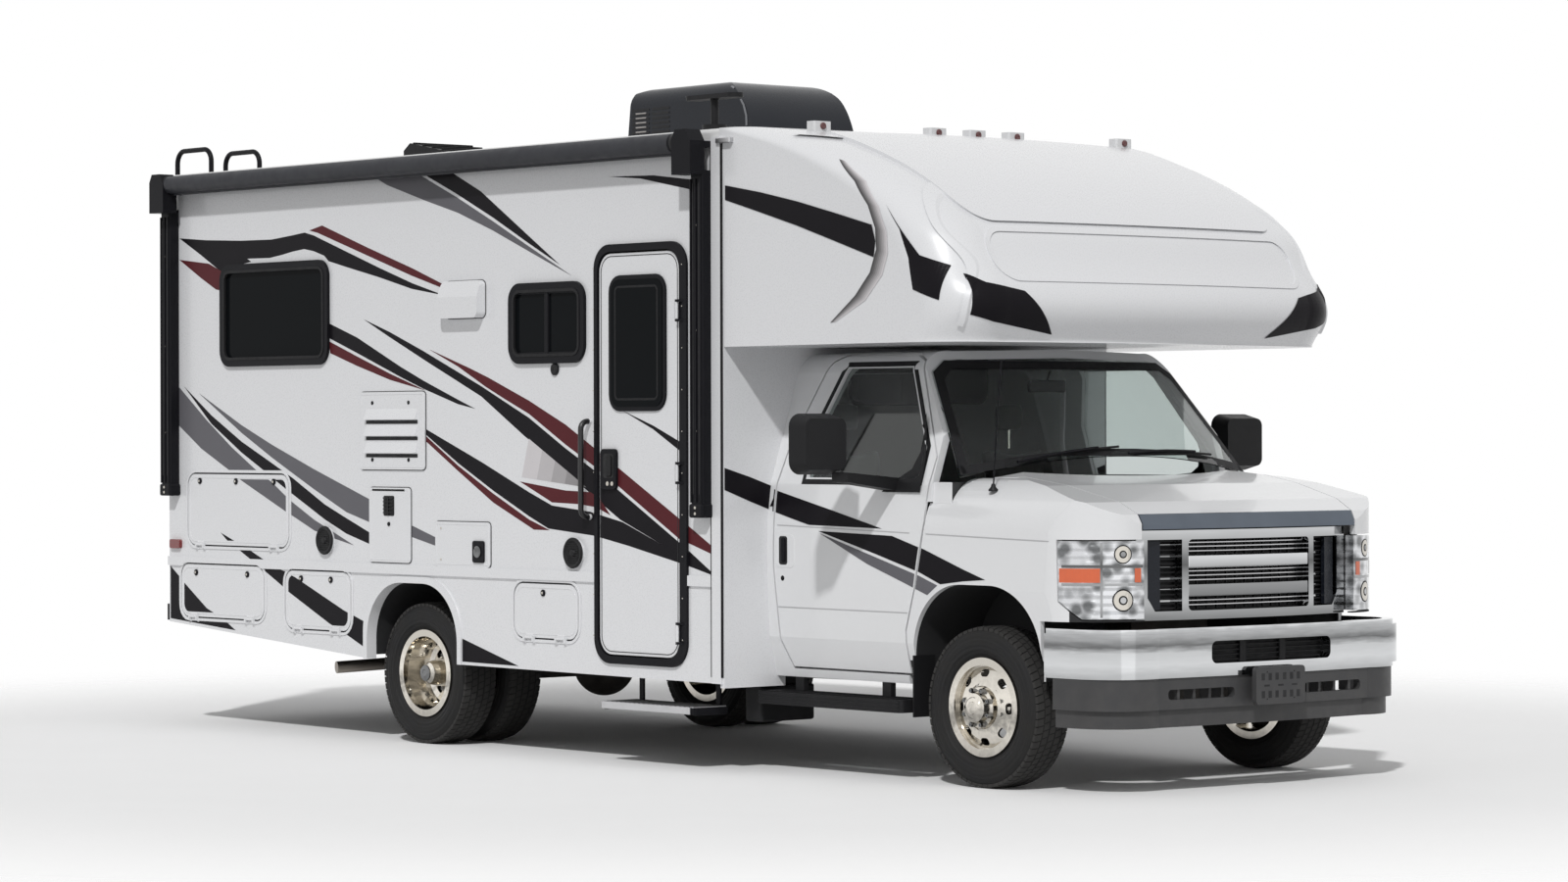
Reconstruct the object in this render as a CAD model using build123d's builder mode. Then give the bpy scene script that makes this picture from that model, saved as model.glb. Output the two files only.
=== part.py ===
from build123d import *
from collections import namedtuple
import math
import os

os.makedirs("parts", exist_ok=True)

# Class C motorhome, in millimetres: +X forward, +Y to the left, +Z up, ground at Z = 0.
# Lengths along the vehicle are given from the front axle, heights from the ground.

Opening = namedtuple("Opening", "x z length height radius")

SIDES = {"right": -1, "left": 1}

# Running gear
WHEELBASE = 4013
FRONT_OVERHANG = 930
REAR_OVERHANG = 2440
FRONT_TRACK_HALF = 875
REAR_TRACK_HALF = 945
DUAL_SPACING = 290
TYRE_RADIUS = 366
TYRE_WIDTH = 223
RIM_RADIUS = 203
RIM_FLANGE_RADIUS = 226
RIM_HALF_WIDTH = 96
RIM_WALL = 12
KINGPIN_Y = 800
KINGPIN_RADIUS = 16
SPINDLE_RADIUS = 30
RUNNING_GAP = 0.3
AXLE_TUBE_RADIUS = 55

REAR = -WHEELBASE
FRONT_AXLE = (REAR_OVERHANG + WHEELBASE - FRONT_OVERHANG) / 2

# Chassis
RAIL_OUTER = 470
RAIL_WIDTH = 70
RAIL_TOP = 690
RAIL_BOTTOM = 520
KICK = 110
CAB_DROP = 90
OUTRIGGERS = (REAR - 2242, REAR - 1257, REAR - 487, REAR + 513, -2480, -1640)
PLATE_BRACKET = 25
PLATE_HOLES_Y = 178
PLATE_HOLES_Z = 121

# Camper body
BODY_HALF = 1270
WALL = 50
BODY_REAR = REAR - 2317
BODY_FRONT = -1500
ROOF_Z = 3060
ROOF_THICK = 50
FLOOR_TOP = 930
FLOOR_THICK = 70
SKIRT_FRONT_Z = 420
SKIRT_REAR_Z = 565
SKIRT_ARCH_Z = 430
REAR_WALL_Z = 662
ARCH = Opening(REAR + 13, 636, 800, 400, 300)
ARCH_LIP = 34
LIP_PROUD = 12
RUB_RAIL_Z = 905
RUB_RAIL_HEIGHT = 50
CORNER_TRIM = 70
DOOR_GAP = 8
HATCH_THICK = 28

# Openings in the camper walls
REAR_WINDOW = Opening(REAR - 1257, 2260, 1040, 560, 90)
SLIDER_WINDOW = Opening(-2840, 2162, 620, 405, 90)
DINETTE_WINDOW = Opening(-2850, 2060, 1150, 640, 90)
WINDOW_BORDER = 45
GLASS = 6
FRAME_PROUD = 18
ENTRY_DOOR = Opening(-2109, 1510, 622, 1960, 90)
ENTRY_SLAB = 40
ENTRY_WINDOW = Opening(-2115, 2050, 400, 620, 60)
ENTRY_JAMB = 35
ENTRY_AXIS = (-1793, 1294)
ENTRY_HINGES_Z = (650, 1420, 2200)
ENTRY_HINGE_JAMB = 62
HATCHES = {
    "baggage_door_rear_upper": Opening(REAR - 1622, 1195, 990, 390, 70),
    "baggage_door_rear_lower": Opening(REAR - 1777, 745, 820, 290, 70),
    "baggage_door_middle": Opening(REAR - 852, 722, 610, 310, 70),
    "baggage_door_front": Opening(-2860, 725, 520, 270, 70),
}
LEFT_HATCH = Opening(-2950, 700, 820, 300, 70)
BOX_DEPTH = 600
BOX_WALL = 8

# Over-cab bunk moulding
CAP_BOTTOM = 2020
CAP_WALL = 40
CAP_CORNER = 290
CAP_STATIONS = [(2020, 190), (2130, 262), (2230, 272), (2300, 232), (2450, 130), (2600, 0),
                (2750, -230), (2880, -520), (2980, -820), (3030, -1030), (3060, -1260)]

# Cab
CAB_HALF = 1000
CAB_REAR = -1470
CAB_SKIN = 40
CAB_ROOF_Z = 2000
BELT_Z = 1370
SILL_Z = 450
NOSE_X = 760
NOSE_CORNER = 330
PANEL_GAP = 6
DOOR_CLEARANCE = 10
FLANGE_THICK = 14
FLANGE_WIDTH = 25
ROOF_CUT_Y = 700
FRONT_ARCH = Opening(-25, 500, 850, 840, 330)
FLOOR_CAB_Z = 620
HOOD_HALF = 800
HOOD_LIP_Z = 1178
HOOD_FRONT_HALF = 688
LAMP_TOP = 1135
HOOD_AXIS = (-112, 1400)
HINGE_PIN = 4
DOOR_AXIS = (-300, 975)
DOOR_PIN = 8
DOOR_HINGES_Z = (1090, 1190)


def side_plane(y=0):
    """Seen from the right: x runs forward from the front axle, y runs up."""
    return Plane(origin=(FRONT_AXLE, y, 0), x_dir=(1, 0, 0), z_dir=(0, -1, 0))


def level_plane(z=0):
    """Seen from above: x runs forward from the front axle, y runs left."""
    return Plane(origin=(FRONT_AXLE, 0, z), x_dir=(1, 0, 0), z_dir=(0, 0, 1))


def cross_plane(x=0):
    """Seen from the front: x runs left, y runs up."""
    return Plane(origin=(FRONT_AXLE + x, 0, 0), x_dir=(0, 1, 0), z_dir=(1, 0, 0))


def wheel_plane(x, y, side):
    """At a wheel's centre: x runs outwards, y runs up."""
    return Plane(origin=(FRONT_AXLE + x, side * y, TYRE_RADIUS),
                 x_dir=(0, side, 0), z_dir=(side, 0, 0))


def wheel_axis(x):
    return Axis((FRONT_AXLE + x, 0, TYRE_RADIUS), (0, 1, 0))


def save(part, name):
    part.label = name
    export_step(part, f"parts/{name}.step")


def outline(opening, grow=0, mode=Mode.ADD):
    """A rounded rectangle, drawn in the sketch that is open."""
    with Locations((opening.x, opening.z)):
        RectangleRounded(opening.length + 2 * grow, opening.height + 2 * grow,
                         max(opening.radius + grow, 5), mode=mode)


# ---------------------------------------------------------------- wheels and tyres

def tyre_ring(x, y, side):
    """One tyre as a closed ring about its wheel."""
    half = TYRE_WIDTH / 2
    with BuildPart() as ring:
        with BuildSketch(wheel_plane(x, y, side)):
            with BuildLine():
                Polyline((-74, RIM_RADIUS + 1), (-RIM_HALF_WIDTH + RIM_WALL + 2, RIM_FLANGE_RADIUS + 2),
                         (-half + 4, 262), (-half, 295), (-half + 7, 332), (-half + 24, 358),
                         (-60, TYRE_RADIUS), (60, TYRE_RADIUS),
                         (half - 24, 358), (half - 7, 332), (half, 295), (half - 4, 262),
                         (RIM_HALF_WIDTH - RIM_WALL - 2, RIM_FLANGE_RADIUS + 2),
                         (74, RIM_RADIUS + 1), close=True)
            make_face()
        revolve(axis=wheel_axis(x))
    return ring.part


def rim_barrel(x, y, side):
    """Rim barrel with a flange at each edge."""
    inner = RIM_RADIUS - RIM_WALL
    with BuildPart() as barrel:
        with BuildSketch(wheel_plane(x, y, side)):
            with BuildLine():
                Polyline((-RIM_HALF_WIDTH, inner), (RIM_HALF_WIDTH, inner),
                         (RIM_HALF_WIDTH, RIM_FLANGE_RADIUS),
                         (RIM_HALF_WIDTH - RIM_WALL, RIM_FLANGE_RADIUS),
                         (RIM_HALF_WIDTH - RIM_WALL, RIM_RADIUS),
                         (-RIM_HALF_WIDTH + RIM_WALL, RIM_RADIUS),
                         (-RIM_HALF_WIDTH + RIM_WALL, RIM_FLANGE_RADIUS),
                         (-RIM_HALF_WIDTH, RIM_FLANGE_RADIUS), close=True)
            make_face()
        revolve(axis=wheel_axis(x))
    return barrel.part


def hand_holes(x, y, side, pitch_radius, count):
    """Cutters for the oval holes round a wheel's disc."""
    plane = Plane(origin=(FRONT_AXLE + x, side * (y + 150), TYRE_RADIUS),
                  x_dir=(1, 0, 0), z_dir=(0, -side, 0))
    with BuildPart() as cutters:
        with BuildSketch(plane):
            with PolarLocations(pitch_radius, count):
                SlotOverall(52, 34, rotation=90)
        extrude(amount=230)
    return cutters.part


for side_name, side in SIDES.items():
    with BuildPart() as front_wheel:
        add(rim_barrel(0, FRONT_TRACK_HALF, side))
        with BuildSketch(wheel_plane(0, FRONT_TRACK_HALF, side)):
            with BuildLine():
                Polyline((55, RIM_RADIUS - 1), (67, RIM_RADIUS - 1), (66, 186), (84, 150), (88, 112),
                         (96, 98), (118, 92), (122, 74), (150, 66), (156, 50), (158, 0), (40, 0),
                         (40, SPINDLE_RADIUS + RUNNING_GAP), (-20, SPINDLE_RADIUS + RUNNING_GAP),
                         (-20, 62), (60, 62), (76, 112), (72, 148), (54, 178), close=True)
            make_face()
        revolve(axis=wheel_axis(0))
        add(hand_holes(0, FRONT_TRACK_HALF, side, 156, 8), mode=Mode.SUBTRACT)
    save(front_wheel.part, f"front_wheel_{side_name}")

    with BuildPart() as front_tyre:
        add(tyre_ring(0, FRONT_TRACK_HALF, side))
    save(front_tyre.part, f"front_tyre_{side_name}")

    outer_y = REAR_TRACK_HALF + DUAL_SPACING / 2
    inner_y = REAR_TRACK_HALF - DUAL_SPACING / 2
    with BuildPart() as rear_wheels:
        add(rim_barrel(-WHEELBASE, outer_y, side))
        add(rim_barrel(-WHEELBASE, inner_y, side))
        with BuildSketch(wheel_plane(-WHEELBASE, outer_y, side)):
            with BuildLine():
                Polyline((70, RIM_RADIUS - 1), (58, RIM_RADIUS - 1), (-60, 172), (-80, 150), (-80, 62),
                         (-205, 62), (-205, RIM_RADIUS - 1), (-217, RIM_RADIUS - 1),
                         (-217, AXLE_TUBE_RADIUS + RUNNING_GAP),
                         (-60, AXLE_TUBE_RADIUS + RUNNING_GAP), (-60, 0), (92, 0), (88, 42), (74, 56),
                         (40, 64), (-40, 76), (-66, 104), (-66, 146), (-48, 164), (70, 192),
                         close=True)
            make_face()
        revolve(axis=wheel_axis(-WHEELBASE))
        with BuildSketch(Plane(origin=(FRONT_AXLE - WHEELBASE, side * (outer_y - 100), TYRE_RADIUS),
                               x_dir=(1, 0, 0), z_dir=(0, side, 0))):
            with PolarLocations(128, 8):
                SlotOverall(50, 32, rotation=90)
        extrude(amount=60, mode=Mode.SUBTRACT)
    save(rear_wheels.part, f"rear_wheels_{side_name}")

    with BuildPart() as rear_tyres:
        add(tyre_ring(-WHEELBASE, outer_y, side))
        add(tyre_ring(-WHEELBASE, inner_y, side))
    save(rear_tyres.part, f"rear_tyres_{side_name}")

# ---------------------------------------------------------------- front axle and knuckles

BEAM_Z = TYRE_RADIUS
BEAM_HALF_HEIGHT = 45
KNUCKLE_ARM = 60
for side_name, side in SIDES.items():
    with BuildPart() as knuckle:
        with BuildSketch(wheel_plane(0, 0, side)):
            with BuildLine():
                Polyline((KINGPIN_Y - 30, 52), (KINGPIN_Y - 30, 84), (KINGPIN_Y + 54, 84),
                         (KINGPIN_Y + 54, -84), (KINGPIN_Y - 30, -84), (KINGPIN_Y - 30, -52),
                         (KINGPIN_Y + 36, -52), (KINGPIN_Y + 36, 52), close=True)
            make_face()
        extrude(amount=KNUCKLE_ARM / 2, both=True)
        with BuildSketch(Plane(origin=(FRONT_AXLE, side * (KINGPIN_Y + 50), TYRE_RADIUS),
                               x_dir=(1, 0, 0), z_dir=(0, side, 0))):
            Circle(SPINDLE_RADIUS)
        extrude(amount=FRONT_TRACK_HALF + 38 - KINGPIN_Y - 50)
        with BuildSketch(Plane(origin=(FRONT_AXLE, side * KINGPIN_Y, TYRE_RADIUS - 84),
                               x_dir=(1, 0, 0), z_dir=(0, 0, 1))):
            Circle(KINGPIN_RADIUS)
        extrude(amount=168)
    save(knuckle.part, f"knuckle_{side_name}")

with BuildPart() as front_axle:
    with BuildSketch(cross_plane(0)):
        with Locations((0, BEAM_Z)):
            Rectangle(2 * (KINGPIN_Y - 60), 2 * BEAM_HALF_HEIGHT - 14)
    extrude(amount=35, both=True)
    for side in SIDES.values():
        with BuildSketch(Plane(origin=(FRONT_AXLE, side * KINGPIN_Y, BEAM_Z - BEAM_HALF_HEIGHT),
                               x_dir=(1, 0, 0), z_dir=(0, 0, 1))):
            Circle(32)
            Rectangle(44, 120, align=(Align.CENTER, Align.MAX if side > 0 else Align.MIN))
            Circle(KINGPIN_RADIUS + RUNNING_GAP, mode=Mode.SUBTRACT)
        extrude(amount=2 * BEAM_HALF_HEIGHT)
        # coil spring tower up to the frame rail
        with BuildSketch(Plane(origin=(FRONT_AXLE, side * 515, BEAM_Z + 20),
                               x_dir=(1, 0, 0), z_dir=(0, 0, 1))):
            Circle(42)
        extrude(amount=RAIL_TOP - CAB_DROP - BEAM_Z - 20)
        with BuildSketch(level_plane(RAIL_TOP - CAB_DROP - 50)):
            with Locations((0, side * RAIL_OUTER)):
                Rectangle(90, 88, align=(Align.CENTER, Align.MIN if side > 0 else Align.MAX))
        extrude(amount=50)
save(front_axle.part, "front_axle")

# ---------------------------------------------------------------- chassis

RAIL_REAR = REAR - 2247
RAIL_FRONT = 560
CROSS_MEMBERS = ((REAR - 1287, 0), (REAR + 713, 0), (-2200, 0), (-1350, CAB_DROP), (480, CAB_DROP))
CROSS_WIDTH = 90
OUTRIGGER_WIDTH = 40
OUTRIGGER_HEIGHT = 50
SEAT_GAP = 0.3
RECEIVER_OUTSIDE = 63.5
RECEIVER_INSIDE = 51.4
RECEIVER_Z = RAIL_BOTTOM - 42
HITCH_X = REAR - 2147
HITCH_PIN_X = REAR - 2370
with BuildPart() as chassis_frame:
    for side in SIDES.values():
        with BuildSketch(side_plane(side * RAIL_OUTER)):
            with BuildLine():
                Polyline((RAIL_REAR, RAIL_BOTTOM), (REAR - 937, RAIL_BOTTOM),
                         (REAR - 587, RAIL_BOTTOM + KICK), (REAR + 563, RAIL_BOTTOM + KICK),
                         (REAR + 913, RAIL_BOTTOM), (-1600, RAIL_BOTTOM),
                         (-1440, RAIL_BOTTOM - CAB_DROP), (RAIL_FRONT, RAIL_BOTTOM - CAB_DROP),
                         (RAIL_FRONT, RAIL_TOP - CAB_DROP), (-1440, RAIL_TOP - CAB_DROP),
                         (-1600, RAIL_TOP), (REAR + 913, RAIL_TOP), (REAR + 563, RAIL_TOP + KICK),
                         (REAR - 587, RAIL_TOP + KICK), (REAR - 937, RAIL_TOP), (RAIL_REAR, RAIL_TOP),
                         close=True)
            make_face()
        extrude(amount=side * RAIL_WIDTH)
    # channel cross members between the rails
    for x, drop in CROSS_MEMBERS:
        with BuildSketch(level_plane(RAIL_BOTTOM + 40 - drop)):
            with Locations((x, 0)):
                Rectangle(CROSS_WIDTH, 2 * (RAIL_OUTER - RAIL_WIDTH - SEAT_GAP))
        extrude(amount=CROSS_WIDTH)
        with BuildSketch(level_plane(RAIL_BOTTOM + 40 - drop)):
            with Locations((x, 0)):
                Rectangle(CROSS_WIDTH - 24, 2 * (RAIL_OUTER - RAIL_WIDTH))
        extrude(amount=CROSS_WIDTH - 12, mode=Mode.SUBTRACT)
    # outriggers that carry the camper floor, each on two spacers
    for x in OUTRIGGERS:
        rise = KICK if abs(x - REAR) < 590 else 0
        with BuildSketch(level_plane(FLOOR_TOP - FLOOR_THICK - OUTRIGGER_HEIGHT)):
            with Locations((x, 0)):
                Rectangle(OUTRIGGER_WIDTH, 2 * (BODY_HALF - WALL))
        extrude(amount=OUTRIGGER_HEIGHT)
        with BuildSketch(level_plane(RAIL_TOP + rise + SEAT_GAP)):
            with Locations((x, RAIL_OUTER - RAIL_WIDTH / 2), (x, -RAIL_OUTER + RAIL_WIDTH / 2)):
                Rectangle(OUTRIGGER_WIDTH, RAIL_WIDTH - 10)
        extrude(amount=FLOOR_TOP - FLOOR_THICK - OUTRIGGER_HEIGHT - RAIL_TOP - rise - SEAT_GAP)
    # hitch receiver: square tube on a cross tube with plates up to the rails
    with BuildSketch(level_plane(RAIL_BOTTOM - 80)):
        with Locations((HITCH_X, 0)):
            Rectangle(76, 2 * RAIL_OUTER - 20)
    extrude(amount=76)
    with BuildSketch(level_plane(RAIL_BOTTOM - 80)):
        with Locations((HITCH_X, RAIL_OUTER - 20), (HITCH_X, -RAIL_OUTER + 20)):
            Rectangle(200, 20)
    extrude(amount=80 - SEAT_GAP)
    with BuildSketch(cross_plane(HITCH_X + 30)):
        with Locations((0, RECEIVER_Z)):
            Rectangle(RECEIVER_OUTSIDE, RECEIVER_OUTSIDE)
    extrude(amount=REAR - REAR_OVERHANG + 10 - HITCH_X - 30)
    with BuildSketch(cross_plane(HITCH_X + 60)):
        with Locations((0, RECEIVER_Z)):
            Rectangle(RECEIVER_INSIDE, RECEIVER_INSIDE)
    extrude(amount=-360, mode=Mode.SUBTRACT)
    with Locations(Location((FRONT_AXLE + HITCH_PIN_X, 0, RECEIVER_Z), (90, 0, 0))):
        Cylinder(8, 2 * RECEIVER_OUTSIDE, mode=Mode.SUBTRACT)
save(chassis_frame.part, "chassis_frame")

with BuildPart() as engine_block:
    with BuildSketch(level_plane(560)):
        with Locations((-165, 0)):
            Rectangle(790, 500)
    extrude(amount=400)
    with BuildSketch(level_plane(540)):
        with Locations((-165, 0)):
            Rectangle(80, 2 * (RAIL_OUTER - RAIL_WIDTH))
    extrude(amount=50)
save(engine_block.part, "engine_block")

with BuildPart() as fuel_tank:
    with BuildSketch(level_plane(430)):
        with Locations((REAR - 1722, 0)):
            RectangleRounded(690, 2 * (RAIL_OUTER - RAIL_WIDTH) - 20, 60)
    extrude(amount=250)
    for x in (REAR - 1887, REAR - 1557):
        with BuildSketch(level_plane(674)):
            with Locations((x, 0)):
                Rectangle(40, 2 * (RAIL_OUTER - RAIL_WIDTH))
        extrude(amount=6)
save(fuel_tank.part, "fuel_tank")

SHAFT_FRONT = -759
with BuildPart() as rear_axle:
    with BuildSketch(Plane(origin=(FRONT_AXLE - WHEELBASE, 0, TYRE_RADIUS),
                           x_dir=(1, 0, 0), z_dir=(0, 1, 0))):
        Circle(AXLE_TUBE_RADIUS)
    extrude(amount=REAR_TRACK_HALF + DUAL_SPACING / 2 - 65, both=True)
    with Locations((FRONT_AXLE - WHEELBASE, 0, TYRE_RADIUS)):
        Sphere(165)
    for side in SIDES.values():
        # leaf spring pack from hanger to hanger
        with BuildSketch(side_plane(side * 510)):
            with BuildLine():
                leaf = ThreePointArc((REAR - 787, 560), (REAR, 432), (REAR + 753, 560))
                Line(leaf @ 1, (REAR + 753, 530))
                low = ThreePointArc((REAR + 753, 530), (REAR, 370), (REAR - 787, 530))
                Line(low @ 1, leaf @ 0)
            make_face()
        extrude(amount=-side * 75)
        with BuildSketch(level_plane(520)):
            with Locations((REAR - 787, side * 525), (REAR + 753, side * 525)):
                Rectangle(50, 110)
        extrude(amount=110)
    # propeller shaft up to the gearbox
    with Locations(Location((FRONT_AXLE + (REAR + SHAFT_FRONT) / 2, 0, TYRE_RADIUS + 39), (0, 90 - 0.5, 0))):
        Cylinder(40, SHAFT_FRONT - REAR - 294)
save(rear_axle.part, "rear_axle")

EXHAUST_Y = -220
EXHAUST_Z = 420
PIPE_RADIUS = 32
with BuildPart() as exhaust:
    with BuildSketch(cross_plane(REAR + 1013)):
        with Locations((EXHAUST_Y, EXHAUST_Z)):
            SlotOverall(260, 150)
    extrude(amount=620)
    with BuildSketch(cross_plane(REAR + 1613)):
        with Locations((EXHAUST_Y, EXHAUST_Z)):
            Circle(PIPE_RADIUS)
    extrude(amount=-800 - REAR - 1613)
    with BuildLine() as tail_path:
        FilletPolyline((FRONT_AXLE + REAR + 1033, EXHAUST_Y, EXHAUST_Z),
                       (FRONT_AXLE + REAR + 613, EXHAUST_Y, EXHAUST_Z),
                       (FRONT_AXLE + REAR + 333, EXHAUST_Y, 590), (FRONT_AXLE + REAR - 337, EXHAUST_Y, 590),
                       (FRONT_AXLE + REAR - 627, -420, 400), (FRONT_AXLE + REAR - 857, -1150, 360),
                       radius=90)
    with BuildSketch(Plane(origin=tail_path.line @ 0, z_dir=tail_path.line % 0)):
        Circle(PIPE_RADIUS)
    sweep(path=tail_path.line)
    for x in (REAR + 713, -2200):
        with BuildSketch(level_plane(EXHAUST_Z)):
            with Locations((x, EXHAUST_Y)):
                Rectangle(20, 14)
        extrude(amount=RAIL_BOTTOM + 40 - EXHAUST_Z)
save(exhaust.part, "exhaust")

# ---------------------------------------------------------------- cab body sections

def cab_section(x_rear, x_front, inset=0):
    """The cab's cross-section, run along the vehicle."""
    half = CAB_HALF - inset
    with BuildPart() as body:
        with BuildSketch(cross_plane(x_rear)):
            with BuildLine():
                low = Polyline((0, SILL_Z), (half - 60, SILL_Z), (half - 12, 640))
                mid = Spline((half - 12, 640), (half, 900), (half, 1150), (half - 22, BELT_Z))
                up = Line(mid @ 1, (half - 195, 1900 - inset * 0.6))
                top = ThreePointArc(up @ 1, (half - 262, 1972 - inset), (half - 370, 1992 - inset))
                Line(top @ 1, (0, CAB_ROOF_Z + 4 - inset))
                Line((0, CAB_ROOF_Z + 4 - inset), (0, SILL_Z))
            make_face()
            mirror(about=Plane.YZ)
        extrude(amount=x_front - x_rear)
    return body.part


def nose_block(inset=0):
    """The front end as one block: hood slope, round front corners."""
    half = CAB_HALF - inset
    front = NOSE_X - inset
    with BuildPart() as block:
        with BuildSketch(level_plane(SILL_Z)):
            with BuildLine():
                Line((-520, -half), (front - NOSE_CORNER, -half))
                ThreePointArc((front - NOSE_CORNER, -half), (front - 80, -half + 130),
                              (front - 12, -half + 330))
                ThreePointArc((front - 12, -half + 330), (front, 0), (front - 12, half - 330))
                ThreePointArc((front - 12, half - 330), (front - 80, half - 130),
                              (front - NOSE_CORNER, half))
                Polyline((front - NOSE_CORNER, half), (-520, half), (-520, -half))
            make_face()
        extrude(amount=1100)
        with BuildSketch(cross_plane(-700)):
            with BuildLine():
                crown = Polyline((0, 1480 - inset), (450, 1470 - inset), (half - 150, 1395 - inset))
                shoulder = Spline(crown @ 1, (half - 40, 1300 - inset), (half - 2, 1150))
                Polyline(shoulder @ 1, (half, 900), (half - 12, 640), (half - 60, SILL_Z),
                         (0, SILL_Z), (0, 1480 - inset))
            make_face()
            mirror(about=Plane.YZ)
        extrude(amount=1600, mode=Mode.INTERSECT)
        with BuildSketch(side_plane(0)):
            with BuildLine():
                Polyline((-700, SILL_Z), (-700, 1500), (-330, 1500 - inset), (-120, 1440 - inset),
                         (330, 1372 - inset), (620, 1300 - inset), (724, 1245 - inset),
                         (770, 1160 - inset), (800, SILL_Z), close=True)
            make_face()
        extrude(amount=1300, both=True, mode=Mode.INTERSECT)
    return block.part


HEADLAMP_EDGE = [(505, LAMP_TOP - 6), (850, LAMP_TOP - 6), (850, 782), (610, 782), (511, 862)]
LAMP_OPENING = [(499, LAMP_TOP), (856, LAMP_TOP), (856, 776), (608, 776), (505, 858)]
CAB_DOOR_EDGE = [(-1420, 980), (-1420, 1360), (-1390, 1560), (-1240, 1945), (-1190, 1975),
                 (-690, 1975), (-600, 1945), (-345, 1500), (-368, 1200), (-430, 900), (-500, 700),
                 (-500, 500), (-1330, 500), (-1385, 620)]
DOOR_HANDLE = (-1340, 1050)
HANDLE_DEPTH = 10
CAB_WINDOW_EDGE = [(-1215, 1400), (-1215, 1640), (-1110, 1915), (-655, 1915), (-430, 1540),
                   (-430, 1400)]


def side_cutter(edge, side, grow=0, start=ROOF_CUT_Y):
    """A side-view outline pushed out through one side of the cab."""
    with BuildPart() as cutter:
        with BuildSketch(side_plane(side * start)):
            Polygon(*edge, align=None)
            if grow:
                offset(amount=grow, kind=Kind.INTERSECTION)
        extrude(amount=-side * 400)
    return cutter.part


def door_rebate(side):
    """What comes off the inside of a door's edge, to leave a thin flange."""
    with BuildPart() as rebate:
        add(side_cutter(CAB_DOOR_EDGE, side, 5))
        add(side_cutter(CAB_DOOR_EDGE, side, -FLANGE_WIDTH, ROOF_CUT_Y - 20), mode=Mode.SUBTRACT)
        add(cab_section(CAB_REAR - 10, -320, FLANGE_THICK), mode=Mode.INTERSECT)
    return rebate.part


cab_outer = cab_section(CAB_REAR, -330)
cab_inner = cab_section(CAB_REAR - 10, -320, CAB_SKIN)
nose_outer = nose_block()
nose_inner = nose_block(30)

# ---------------------------------------------------------------- cab doors

for side_name, side in SIDES.items():
    with BuildPart() as cab_door:
        add(cab_outer)
        add(cab_inner, mode=Mode.SUBTRACT)
        add(side_cutter(CAB_DOOR_EDGE, side, start=ROOF_CUT_Y + 12), mode=Mode.INTERSECT)
        add(door_rebate(side), mode=Mode.SUBTRACT)
        add(side_cutter(CAB_WINDOW_EDGE, side), mode=Mode.SUBTRACT)
        # handle recess
        with BuildSketch(side_plane(side * (CAB_HALF - HANDLE_DEPTH))):
            with Locations(DOOR_HANDLE):
                RectangleRounded(120, 62, 16)
        extrude(amount=-side * 100, mode=Mode.SUBTRACT)
        for z in DOOR_HINGES_Z:
            with BuildSketch(Plane(origin=(FRONT_AXLE + DOOR_AXIS[0], side * DOOR_AXIS[1], z - 15),
                                   x_dir=(1, 0, 0), z_dir=(0, 0, 1))):
                Circle(12)
                with BuildLine():
                    Polyline((8, 0), (8, -side * 95), (-150, -side * 95), (-150, -side * 5),
                             (-131, -side * 5), (-131, -side * 77), (-10, -side * 77), (-10, 0),
                             close=True)
                make_face()
                Circle(DOOR_PIN + RUNNING_GAP, mode=Mode.SUBTRACT)
            extrude(amount=30)
    save(cab_door.part, f"cab_door_{side_name}")

    with BuildPart() as door_glass:
        add(cab_section(CAB_REAR, -330, 16))
        add(cab_section(CAB_REAR - 10, -320, 16 + GLASS), mode=Mode.SUBTRACT)
        add(side_cutter(CAB_WINDOW_EDGE, side), mode=Mode.INTERSECT)
    save(door_glass.part, f"cab_door_glass_{side_name}")

    with BuildPart() as door_mirror:
        with BuildSketch(cross_plane(-690)):
            with Locations((side * 1385, 1560)):
                RectangleRounded(290, 280, 60)
        extrude(amount=90, taper=14)
        with BuildSketch(cross_plane(-560)):
            with BuildLine():
                Polyline((side * 950, 1340), (side * 1290, 1385), (side * 1290, 1430),
                         (side * 950, 1400), close=True)
            make_face()
        extrude(amount=-110)
        add(cab_outer, mode=Mode.SUBTRACT)
    save(door_mirror.part, f"mirror_{side_name}")

# ---------------------------------------------------------------- cab shell

SCREEN_FOOT = (-185, 1400)
SCREEN_TOP = (-665, 1965)
SCREEN_BOW = 150
SCREEN_HALF = 960
FENDER_EDGE_Z = 1294
COWL_TOP = 1382
COWL_HALF = 690
HOOD_HINGES_Y = (-745, 745)
DOOR_POST_Y = 840
slant = math.atan2(SCREEN_TOP[1] - SCREEN_FOOT[1], SCREEN_FOOT[0] - SCREEN_TOP[0])
screen_length = math.dist(SCREEN_FOOT, SCREEN_TOP)
screen_plane = Plane(origin=(FRONT_AXLE + SCREEN_FOOT[0], 0, SCREEN_FOOT[1]), x_dir=(0, -1, 0),
                     z_dir=(-math.cos(slant), 0, math.sin(slant)))


def screen_slab(inner, outer, half_width, below=0, above=0):
    """A bowed slab that follows the windshield, from inner to outer along its normal."""
    with BuildPart() as slab:
        with BuildSketch(screen_plane.offset(-below)):
            with BuildLine():
                ThreePointArc((-half_width, inner), (0, inner + SCREEN_BOW), (half_width, inner))
                Line((half_width, inner), (half_width, outer))
                if outer > inner + 100:
                    Line((half_width, outer), (-half_width, outer))
                else:
                    ThreePointArc((half_width, outer), (0, outer + SCREEN_BOW), (-half_width, outer))
                Line((-half_width, outer), (-half_width, inner))
            make_face()
        extrude(amount=screen_length + below + above)
    return slab.part


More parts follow.
